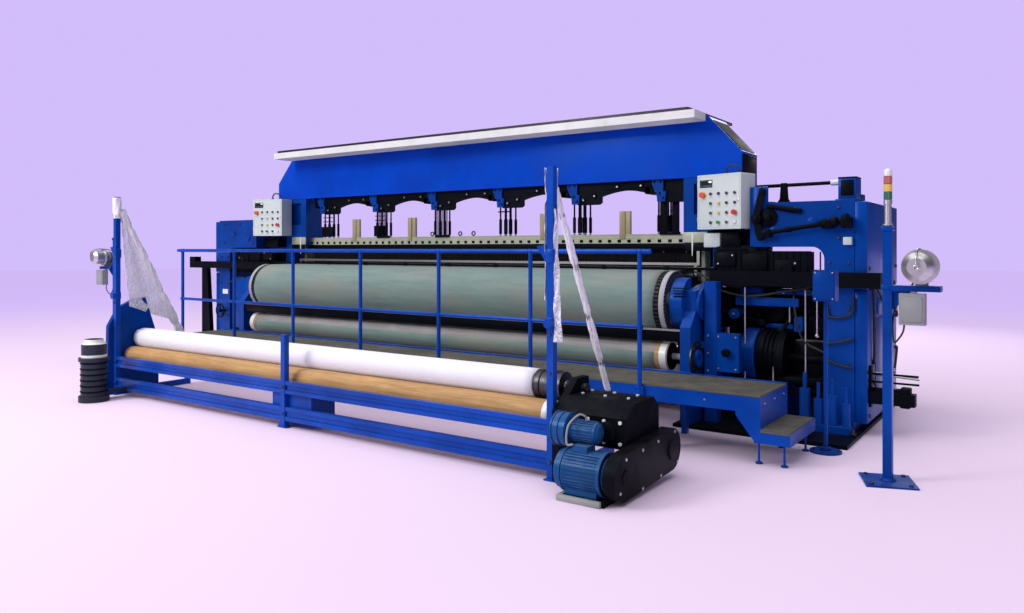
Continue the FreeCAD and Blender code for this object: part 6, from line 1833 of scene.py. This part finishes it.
@dataclass
class BatchingUnit(SubAssembly):
    """The free-standing unit that winds the cloth, with its drive, posts and wrapping film."""

    left: float = -2.615
    middle: float = 0.245
    right: float = 3.105
    y: float = -3.30
    tube_half: float = 0.0265
    roll: tuple = (-3.0, 0.60724, 0.122, -2.60, 2.81)
    core: float = 0.04
    turns: float = 6.0
    layer: float = 0.0115
    motor: tuple = (-3.52, 0.176, 0.136)
    clutch: tuple = (-3.455, 0.416)
    take_off: tuple = (-2.43, -3.65)
    strut_top: tuple = (-3.2735, 2.08)
    strut_foot: tuple = (-2.44, 0.45)

    def build(self) -> None:
        """Dresses the unit, then makes the roll, the film and the drive's details."""
        self.dress(Look.RAIL, "batch_frame")
        self.dress(Look.FRAME, "batch_end_frame")
        self.dress(Look.CORK, "drive_roller_front", "drive_roller_back")
        self.dress(Look.DARK_STEEL, "roll_core")
        self.dress(Look.TEAL, "batch_motors")
        self.dress(Look.BLACK, "gearbox", "belt_guard")
        self.dress(Look.SLATE, "take_off_motor")
        self.add_roll()
        self.add_film()
        self.add_drive_details()
        self.add_motor_details()
        self.add_frame_details()

    def add_roll(self) -> None:
        """The roll as one spiral sheet, its radius falling evenly with the turn.

        A point is (X, axis + radius of the turn), where the radius is the outer one less the
        share of the turn times the wound thickness, plus a slight swell along X.
        """
        y, z, outer, x0, x1 = self.roll
        t = np.linspace(0.0, 2 * math.pi * self.turns, int(48 * self.turns) + 1)
        x = np.linspace(x0, x1, 60)
        xx, tt = np.meshgrid(x, t)
        radius = outer - 0.0022 - self.layer * tt / (2 * math.pi)
        radius = radius + 0.0007 * (np.sin(3.1 * xx + 0.7) + np.sin(7.7 * xx)) * np.exp(-tt / 6)
        along = radius * tt
        points = np.stack([xx, y + radius * np.cos(tt + 2.2), z + radius * np.sin(tt + 2.2)], -1)
        sheet = surface(points, uv=np.stack([xx, along], -1))
        cloth = self.add("wound_cloth", sheet, Look.WHITE_CLOTH, "batch_roll", "white_cloth", 60.0)
        self.thicken(cloth, 0.0018)
        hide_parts("batch_roll")
        plug = [lathe(ring_profile(x, x + 0.012, self.core + 0.002, 0.045, 0.004),
                      Axis.X, (0, y, z), 32) for x in (x0 - 0.016, 3.045)]
        self.add("core_rings", joined(plug), Look.STEEL, "batch_roll", "bright_steel")
        band = [lathe(ring_profile(x, x + 0.012, 0.1072, 0.1090, 0.002), Axis.X,
                      (0, y, z), 64)
                for x in (2.86, 2.98)]
        self.add("collar_grooves", joined(band), Look.BLACK, "batch_roll")

    def sleeve(self, start: Array, end: Array, size: float, folds: float, seed: float,
               reach: tuple = (0.0, 360.0)) -> Shape:
        """Film gathered round a bar, or round the part of it between two turns in degrees.

        Along the line from start to end, the radius at a turn is the size times one plus
        three sines of the turn and of the distance, drawn in at ties along the length.
        """
        run = end - start
        length = float(np.linalg.norm(run))
        run = run / length
        first = np.cross(run, [1.0, 0.0, 0.0])
        if np.linalg.norm(first) < 0.2:
            first = np.cross(run, [0.0, 1.0, 0.0])
        first /= np.linalg.norm(first)
        second = np.cross(run, first)
        rows, sides = int(length / 0.014), 44
        whole = reach[1] - reach[0] == 360.0
        turns = np.radians(np.linspace(*reach, sides, endpoint=not whole))
        s, t = np.meshgrid(np.linspace(0, length, rows), turns, indexing="ij")
        wave = 0.30 * np.sin(2 * t + 9 * s + seed) + 0.22 * np.sin(5 * t - 23 * s + 2 * seed)
        wave = wave + 0.12 * np.sin(9 * t + 51 * s)
        tie = 1 - 0.30 * np.exp(-((s % 0.42 - 0.21) / 0.030) ** 2)
        radius = size * (1 + folds * wave) * tie
        middle = start + s[..., None] * run
        ring = np.cos(t)[..., None] * first + np.sin(t)[..., None] * second
        uv = np.stack([t * size, s], -1)
        return surface(middle + radius[..., None] * ring, round_columns=whole, uv=uv)

    def area(self, sheet: Shape, rows: int, columns: int) -> float:
        """A sheet's area: the sum over its cells of the cross product of two sides."""
        cells = sheet.points.reshape(rows, columns, 3)
        sides = cells[1:, :-1] - cells[:-1, :-1], cells[:-1, 1:] - cells[:-1, :-1]
        return float(np.linalg.norm(np.cross(*sides), axis=-1).sum())

    def film(self, name: str, shape: Shape, look: Look, width: float, length: float, rests: str,
             held: str = "gathered") -> bpy.types.Object:
        piece = self.add(name, shape, look, slot="film_white", sharp=80.0)
        self.thicken(piece, 0.0008, 1.0)
        return piece

    def add_film(self) -> None:
        """The struts' bars, film round both struts and both posts' tops, and a loose veil on each side."""
        top, foot = np.array(self.strut_top), np.array(self.strut_foot)
        run = foot - top
        bars = []
        for x in (self.left, self.right):
            bars.append(tube(line_of((x, *(top + run * 0.012)), (x, *(top + run * 0.985)), 8), 0.0195, 16))
        strut = self.add("post_stays", joined(bars), Look.BAR_STEEL, slot="film_white")
        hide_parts("post_struts")
        for side, x, size in (("left", self.left, 0.042), ("right", self.right, 0.0235)):
            a, b = np.array([x, *(top + run * 0.02)]), np.array([x, *(top + run * 0.96)])
            length = float(np.linalg.norm(b - a))
            self.film("stay_film_" + side, self.sleeve(a, b, size, 0.45, 1.0), Look.FILM,
                      2 * math.pi * size * 1.06, length, "post_stays")
        high, low = np.array([self.right, self.y, 2.19]), np.array([self.right, self.y, 1.26])
        cling = self.sleeve(high, low, 0.050, 0.22, 2.0, (52.0, 205.0))
        self.film("post_film_right", cling, Look.FILM, math.radians(153.0) * 0.050 * 1.04, 0.93,
                  "batch_frame")
        s, w = np.meshgrid(np.linspace(0, 1, 60), np.linspace(0, 1, 8), indexing="ij")
        edge = self.right + self.tube_half + 0.002
        strip = surface(np.stack([edge + (0.012 + 0.045 * s) * w + 0.003 * np.sin(17 * s + 5 * w),
                                  self.y - 0.02 + 0.02 * w + 0.006 * np.sin(23 * s + 4 * w), 1.90 - 0.93 * s],
                                  -1),
                        uv=np.stack([w, s], -1))
        self.film("post_veil", strip, Look.VEIL, self.area(strip, 60, 8) / 0.93, 0.93, "batch_frame",
                  "draped")
        high, low = np.array([self.left, self.y, 2.19]), np.array([self.left, self.y, 1.96])
        self.film("post_film_left", self.sleeve(high, low, 0.046, 0.25, 3.0), Look.FILM,
                  2 * math.pi * 0.046 * 1.04,
                  0.23, "batch_frame")
        rows, columns = 60, 20
        s, w = np.meshgrid(np.linspace(0, 1, rows), np.linspace(0, 1, columns), indexing="ij")
        upper = top + run * 0.12
        lower = top + run * 0.80
        edge_y, edge_z = upper[0] + (lower[0] - upper[0]) * s, upper[1] + (lower[1] - upper[1]) * s
        inner_y = self.y + 0.045 + 0.10 * s
        inner_z = 1.95 - 0.98 * s
        bulge = 0.035 * np.sin(math.pi * w) * np.sin(2.2 * s + 5 * w) + 0.008 * np.sin(31 * s + 9 * w)
        veil = surface(np.stack([self.left + bulge, inner_y + (edge_y - 0.02 - inner_y) * w,
                                 inner_z + (edge_z - inner_z) * w], -1),
                       uv=np.stack([w, s], -1))
        self.film("loose_film", veil, Look.VEIL, self.area(veil, rows, columns) / 1.25, 1.25, "post_stays",
                  "draped")

    def add_drive_details(self) -> None:
        """Bolts on the gearbox, belt guard and end frame, bearing rings, and tape on the drive rollers."""
        outer = self.right + self.tube_half
        bolts = [hexagon(Axis.X, (outer, yy, z), 0.030, -0.012) for yy, z in ((-3.27, 0.46), (-3.25, 0.33))]
        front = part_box("gearbox")[0][1]
        bolts += [hexagon(Axis.Y, (xx, front, z), 0.024, -0.010) for xx in (3.18, 3.30, 3.42, 3.54, 3.66)
                  for z in (0.335, 0.475)]
        bolts += [hexagon(Axis.Z, (xx, yy, 0.590), 0.022, 0.010) for xx in (3.24, 3.42, 3.60)
                  for yy in (-3.10, -2.96)]
        self.add("gearbox_bolts", joined(bolts), Look.LAMP_WHITE, slot="machine_black")
        caps = [lathe([(front - 0.016, 0.062), (front - 0.012, 0.070), (front + 0.002, 0.072)], Axis.Y,
                      (xx, 0, 0.405), 36) for xx in (3.36, 3.56)]
        self.add("bearing_rings", joined(caps), Look.BLACK)
        r = 0.1003
        for side, x, yy in (("front", 2.96, -3.12), ("back", 2.84, -2.88)):
            tape = lathe(ring_profile(x, x + 0.048, r, r + 0.002, 0.003), Axis.X,
                         (0, yy, 0.42), 48)
            self.add("roller_tape_" + side, tape, Look.WHITE_PLASTIC, "drive_roller_" + side, "roller_tan")
        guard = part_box("belt_guard")
        gx = guard[1][0]
        screws = [hexagon(Axis.X, (gx, yy, z), 0.020, 0.008) for yy, z in
                  ((-3.52, 0.295), (-3.60, 0.10), (-3.28, 0.305), (-3.04, 0.315), (-3.28, 0.055),
                   (-3.00, 0.075), (-2.76, 0.33), (-2.72, 0.11))]
        self.add("guard_screws", joined(screws), Look.ZINC)
        lips = [lathe([(gx - 0.006, 0.070), (gx, 0.075), (gx + 0.012, 0.068), (gx + 0.014, 0.030)],
                      Axis.X, (0, -2.80, 0.21), 36),
                lathe([(gx - 0.006, 0.050), (gx, 0.052), (gx + 0.006, 0.046)], Axis.X, (0, -3.52, 0.176), 32)]
        self.add("guard_bosses", joined(lips), Look.BLACK)
        x0 = self.left - self.tube_half - 0.063
        bearings = [lathe([(x0 - 0.014, 0.046), (x0 - 0.008, 0.056), (x0 + 0.010, 0.058)], Axis.X,
                          (0, yy, zz), 32)
                    for yy, zz in ((-3.12, 0.42), (-2.88, 0.42), (-3.0, 0.607))]
        self.add("end_bearings_1", joined(bearings), Look.DARK_STEEL)
        arch = [block((-2.70, -3.06, 1.0585), (-2.638, -2.955, 1.0600), 0.0005, 2)]
        arch += [hexagon(Axis.X, (-2.6965, yy, zz), 0.024, -0.010) for yy,
                 zz in ((-3.34, 0.12), (-2.86, 0.12), (-3.30, 0.60), (-3.0, 0.92), (-2.85, 0.5))]
        self.add("end_frame_bolts", joined(arch), Look.DARK_STEEL)

    def add_motor_details(self) -> None:
        """The motor's fins, bells, grille, clutch, lead and base, and the take-off motor's rings."""
        my, mz, r = self.motor
        fin = block((3.395, -0.0016, r - 0.004), (3.640, 0.0016, r + 0.010), 0.001, 2)
        fins = [fin.turned(Axis.X, a) for a in np.arange(-140, 141, 9.0) if not -26 < a < 26]
        self.add("motor_fins", joined(fins).moved(0, my, mz), Look.TEAL, slot="motor_teal")
        bell = [lathe([(3.326, 0.060), (3.328, 0.118), (3.334, 0.126)], Axis.X, (0, my, mz), 40),
                lathe(ring_profile(3.366, 3.386, 0.1365, 0.144, 0.002), Axis.X, (0, my, mz),
                      48),
                lathe(ring_profile(3.652, 3.672, 0.1365, 0.146, 0.002), Axis.X, (0, my, mz),
                      48)]
        bell.append(block((3.428, my - 0.050, mz + r + 0.026), (3.546, my + 0.050, mz + r + 0.036), 0.005))
        self.add("motor_bells", joined(bell), Look.TEAL, slot="motor_teal")
        grille = [lathe([(3.324, rr), (3.3225, rr + 0.003), (3.3225, rr + 0.006), (3.324, rr + 0.009)],
                        Axis.X, (0, my, mz), 40)
                  for rr in (0.030, 0.050, 0.070, 0.090)]
        grille.append(around(hexagon(Axis.X, (3.368, 0, 0.125), 0.014, -0.006), Axis.X, (0, my, mz), 4, 45.0))
        self.add("motor_grille", joined(grille), Look.DARK_STEEL)
        cy, cz = self.clutch
        clutch = [lathe(ring_profile(xx, xx + 0.012, 0.1105, 0.117, 0.002),
                        Axis.X, (0, cy, cz), 48)
                  for xx in (3.252, 3.300, 3.352)]
        clutch.append(lathe([(3.240, 0.060), (3.242, 0.090), (3.252, 0.100)], Axis.X, (0, cy, cz), 40))
        clutch.append(around(block((3.385, -0.0015, 0.066), (3.545, 0.0015, 0.075), 0.001, 2), Axis.X,
                             (0, cy, cz), 24))
        clutch.append(lathe([(3.545, 0.064), (3.560, 0.064), (3.575, 0.050), (3.580, 0.020)], Axis.X,
                            (0, cy, cz), 36))
        clutch.append(around(hexagon(Axis.X, (3.252, 0, 0.085), 0.014, -0.010), Axis.X, (0, cy, cz), 6))
        self.add("clutch_ribs", joined(clutch), Look.TEAL, slot="motor_teal")
        lead = curve([(3.47, cy, cz + 0.066), (3.47, cy - 0.01, cz + 0.10), (3.44, cy - 0.05, cz + 0.115),
                      (3.40, cy - 0.115, cz + 0.05),
                      (3.40, cy - 0.135, cz - 0.06), (3.44, my - 0.06, mz + r + 0.04)], 8)
        self.add("motor_lead", tube(lead, 0.007, 10), Look.BOX_GREY, slot="panel_grey")
        base = block((3.36, my - 0.145, 0.0), (3.68, my + 0.145, 0.040), 0.006)
        self.add("motor_base", base, Look.BOX_GREY, slot="panel_grey")
        tx, ty = self.take_off
        r = 0.1283
        rings = [lathe(ring_profile(z, z + 0.018, r, r + 0.006, 0.004), Axis.Z,
                       (tx, ty, 0), 56)
                 for z in (0.10, 0.16, 0.22, 0.28, 0.34, 0.40)]
        self.add("take_off_ribs", joined(rings), Look.BLACK)
        cap = [lathe([(0.609, 0.1222), (0.6105, 0.1228), (0.622, 0.1050), (0.640, 0.0930), (0.659, 0.0905)],
                     Axis.Z, (tx, ty, 0), 56),
               lathe([(0.4655, 0.1225), (0.470, 0.1260), (0.492, 0.1260), (0.496, 0.1225)], Axis.Z,
                     (tx, ty, 0), 56)]
        self.add("take_off_rings", joined(cap), Look.LAMP_WHITE, slot="machine_black")

    def add_frame_details(self) -> None:
        """Weld beads, bolts, clamps and soles of the unit's posts."""
        h = self.tube_half
        beads = []
        for x in (self.left, self.middle, self.right):
            for z in (0.066, 0.190, 0.311, 0.424):
                for side in (-1, 1):
                    if (x == self.left and side < 0) or (x == self.right and side > 0):
                        continue
                    beads.append(tube(line_of((x + side * (h + 0.001), self.y - 0.022, z),
                                              (x + side * (h + 0.001), self.y + 0.022, z), 4), 0.003, 6))
        self.add("frame_welds", joined(beads), Look.RAIL, slot="rail_blue")
        bolts = [hexagon(Axis.Y, (x, self.y - h, z), 0.022, -0.010)
                 for x in (self.left, self.middle, self.right) for z in (0.128, 0.368)]
        bolts += [hexagon(Axis.Y, (x, self.y - h, z), 0.020, -0.009) for x in (self.left, self.right)
                  for z in (0.75, 1.02)]
        self.add("frame_fixings", joined(bolts), Look.DARK_STEEL)
        clamp = [block((x - h - 0.008, self.y - h - 0.008, 1.52), (x + h + 0.008, self.y + h + 0.008, 1.62),
                       0.008)
                 for x in (self.left, self.right)]
        clamp += [block((x - h - 0.006, self.y - h - 0.006, 1.06), (x + h + 0.006, self.y + h + 0.006, 1.14),
                        0.008)
                  for x in (self.left, self.right)]
        self.add("post_clamps", joined(clamp), Look.RAIL, slot="rail_blue")
        lugs = [block((self.middle - 0.05, self.y - h - 0.004, 0.0),
                      (self.middle + 0.05, self.y + h + 0.004, 0.012), 0.003)]
        lugs += [block((x - 0.045, self.y - 0.045, 0.0), (x + 0.045, self.y + 0.045, 0.010), 0.003)
                 for x in (self.left, self.right)]
        self.add("post_soles", joined(lugs), Look.RAIL, slot="rail_blue")


@dataclass
class Studio:
    """The floor, the lights and the camera."""

    eye: tuple = (6.05, -8.0, 1.62)
    turn: float = 34.958
    lens: float = 27.77
    shift: float = -0.0562

    def light(self, name: str, place: tuple, aim: tuple, size: float, power: float, colour: Colour) -> None:
        """One soft area light aimed at a point."""
        lamp = bpy.data.lights.new(name, "AREA")
        lamp.shape, lamp.size, lamp.energy, lamp.color = "DISK", size, power, colour
        item = bpy.data.objects.new(name, lamp)
        item.location = place
        away = np.array(place, dtype=float) - np.array(aim, dtype=float)
        flat = math.hypot(away[0], away[1])
        item.rotation_euler = (math.atan2(flat, away[2]), 0.0, math.atan2(away[0], -away[1]))
        bpy.context.scene.collection.objects.link(item)

    def build(self) -> None:
        """Makes the camera first, then the floor, the world and the lights."""
        data = bpy.data.cameras.new("camera")
        data.sensor_width, data.lens, data.shift_y = 36.0, self.lens, self.shift
        data.clip_end = 200.0
        camera = bpy.data.objects.new("camera", data)
        camera.location = self.eye
        camera.rotation_euler = (math.pi / 2, 0.0, math.radians(self.turn))
        bpy.context.scene.collection.objects.link(camera)
        bpy.context.scene.camera = camera

        t = np.linspace(0.0, 2 * math.pi, 96, endpoint=False)
        r = np.array([0.001, 6.0, 14.0, 30.0, 60.0])
        disc = np.stack([r[:, None] * np.cos(t), r[:, None] * np.sin(t), 0 * r[:, None] * t - 0.0005], -1)
        ground = surface(disc, round_columns=True)
        mesh = bpy.data.meshes.new("floor")
        mesh.from_pydata(ground.points.tolist(), [], ground.faces + [list(range(96))[::-1]])
        mesh.materials.append(Look.FLOOR.dressed())
        floor = bpy.data.objects.new("floor", mesh)
        bpy.context.scene.collection.objects.link(floor)

        bpy.context.scene.world = self.surround()
        bpy.context.scene.view_settings.view_transform = "Standard"
        self.light("key", (-4.5, -12.0, 7.5), (0.0, -1.0, 1.2), 5.0, 900.0, (1.0, 0.98, 0.95))
        self.light("fill", (8.5, -10.0, 3.5), (1.0, -1.5, 1.0), 5.0, 45.0, (0.92, 0.96, 1.0))
        self.light("back", (2.0, 9.0, 6.0), (0.0, 0.0, 1.5), 6.0, 260.0, (1.0, 0.97, 1.0))
        sky = bpy.data.lights.new("overhead", "SUN")
        sky.energy, sky.angle, sky.color = 2.0, 1.4, (1.0, 0.97, 1.0)
        item = bpy.data.objects.new("overhead", sky)
        item.rotation_euler = (math.radians(14.0), math.radians(-8.0), 0.0)
        bpy.context.scene.collection.objects.link(item)

    def surround(self) -> bpy.types.World:
        """A pale surround, and a dimmer one for the light that it sheds on the loom."""
        world = bpy.data.worlds.new("studio")
        world.use_nodes = True
        tree = world.node_tree
        tree.nodes.clear()
        seen, shed = (tree.nodes.new("ShaderNodeBackground") for _ in range(2))
        seen.inputs[0].default_value = (0.65, 0.51, 0.97, 1.0)
        shed.inputs[0].default_value = (0.62, 0.60, 0.72, 1.0)
        mix, ray = tree.nodes.new("ShaderNodeMixShader"), tree.nodes.new("ShaderNodeLightPath")
        level = tree.nodes.new("ShaderNodeMath")
        level.operation = "MULTIPLY_ADD"
        level.inputs[1].default_value, level.inputs[2].default_value = -0.32, 0.42
        tree.links.new(ray.outputs["Is Glossy Ray"], level.inputs[0])
        tree.links.new(level.outputs[0], shed.inputs[1])
        tree.links.new(ray.outputs["Is Camera Ray"], mix.inputs[0])
        tree.links.new(shed.outputs[0], mix.inputs[1])
        tree.links.new(seen.outputs[0], mix.inputs[2])
        tree.links.new(mix.outputs[0], tree.nodes.new("ShaderNodeOutputWorld").inputs[0])
        return world


def main() -> None:
    """Builds every sub-assembly in order."""
    logging.basicConfig(level=logging.INFO, format="%(name)s %(message)s")
    Studio().build()
    for part in (Gantry(), HealdSet(), Cloth(), Rollers(), Panels(), EndFrames(), Walkway(),
                 FeederStands(), BatchingUnit()):
        part.report()


if __name__ == "__main__":
    main()
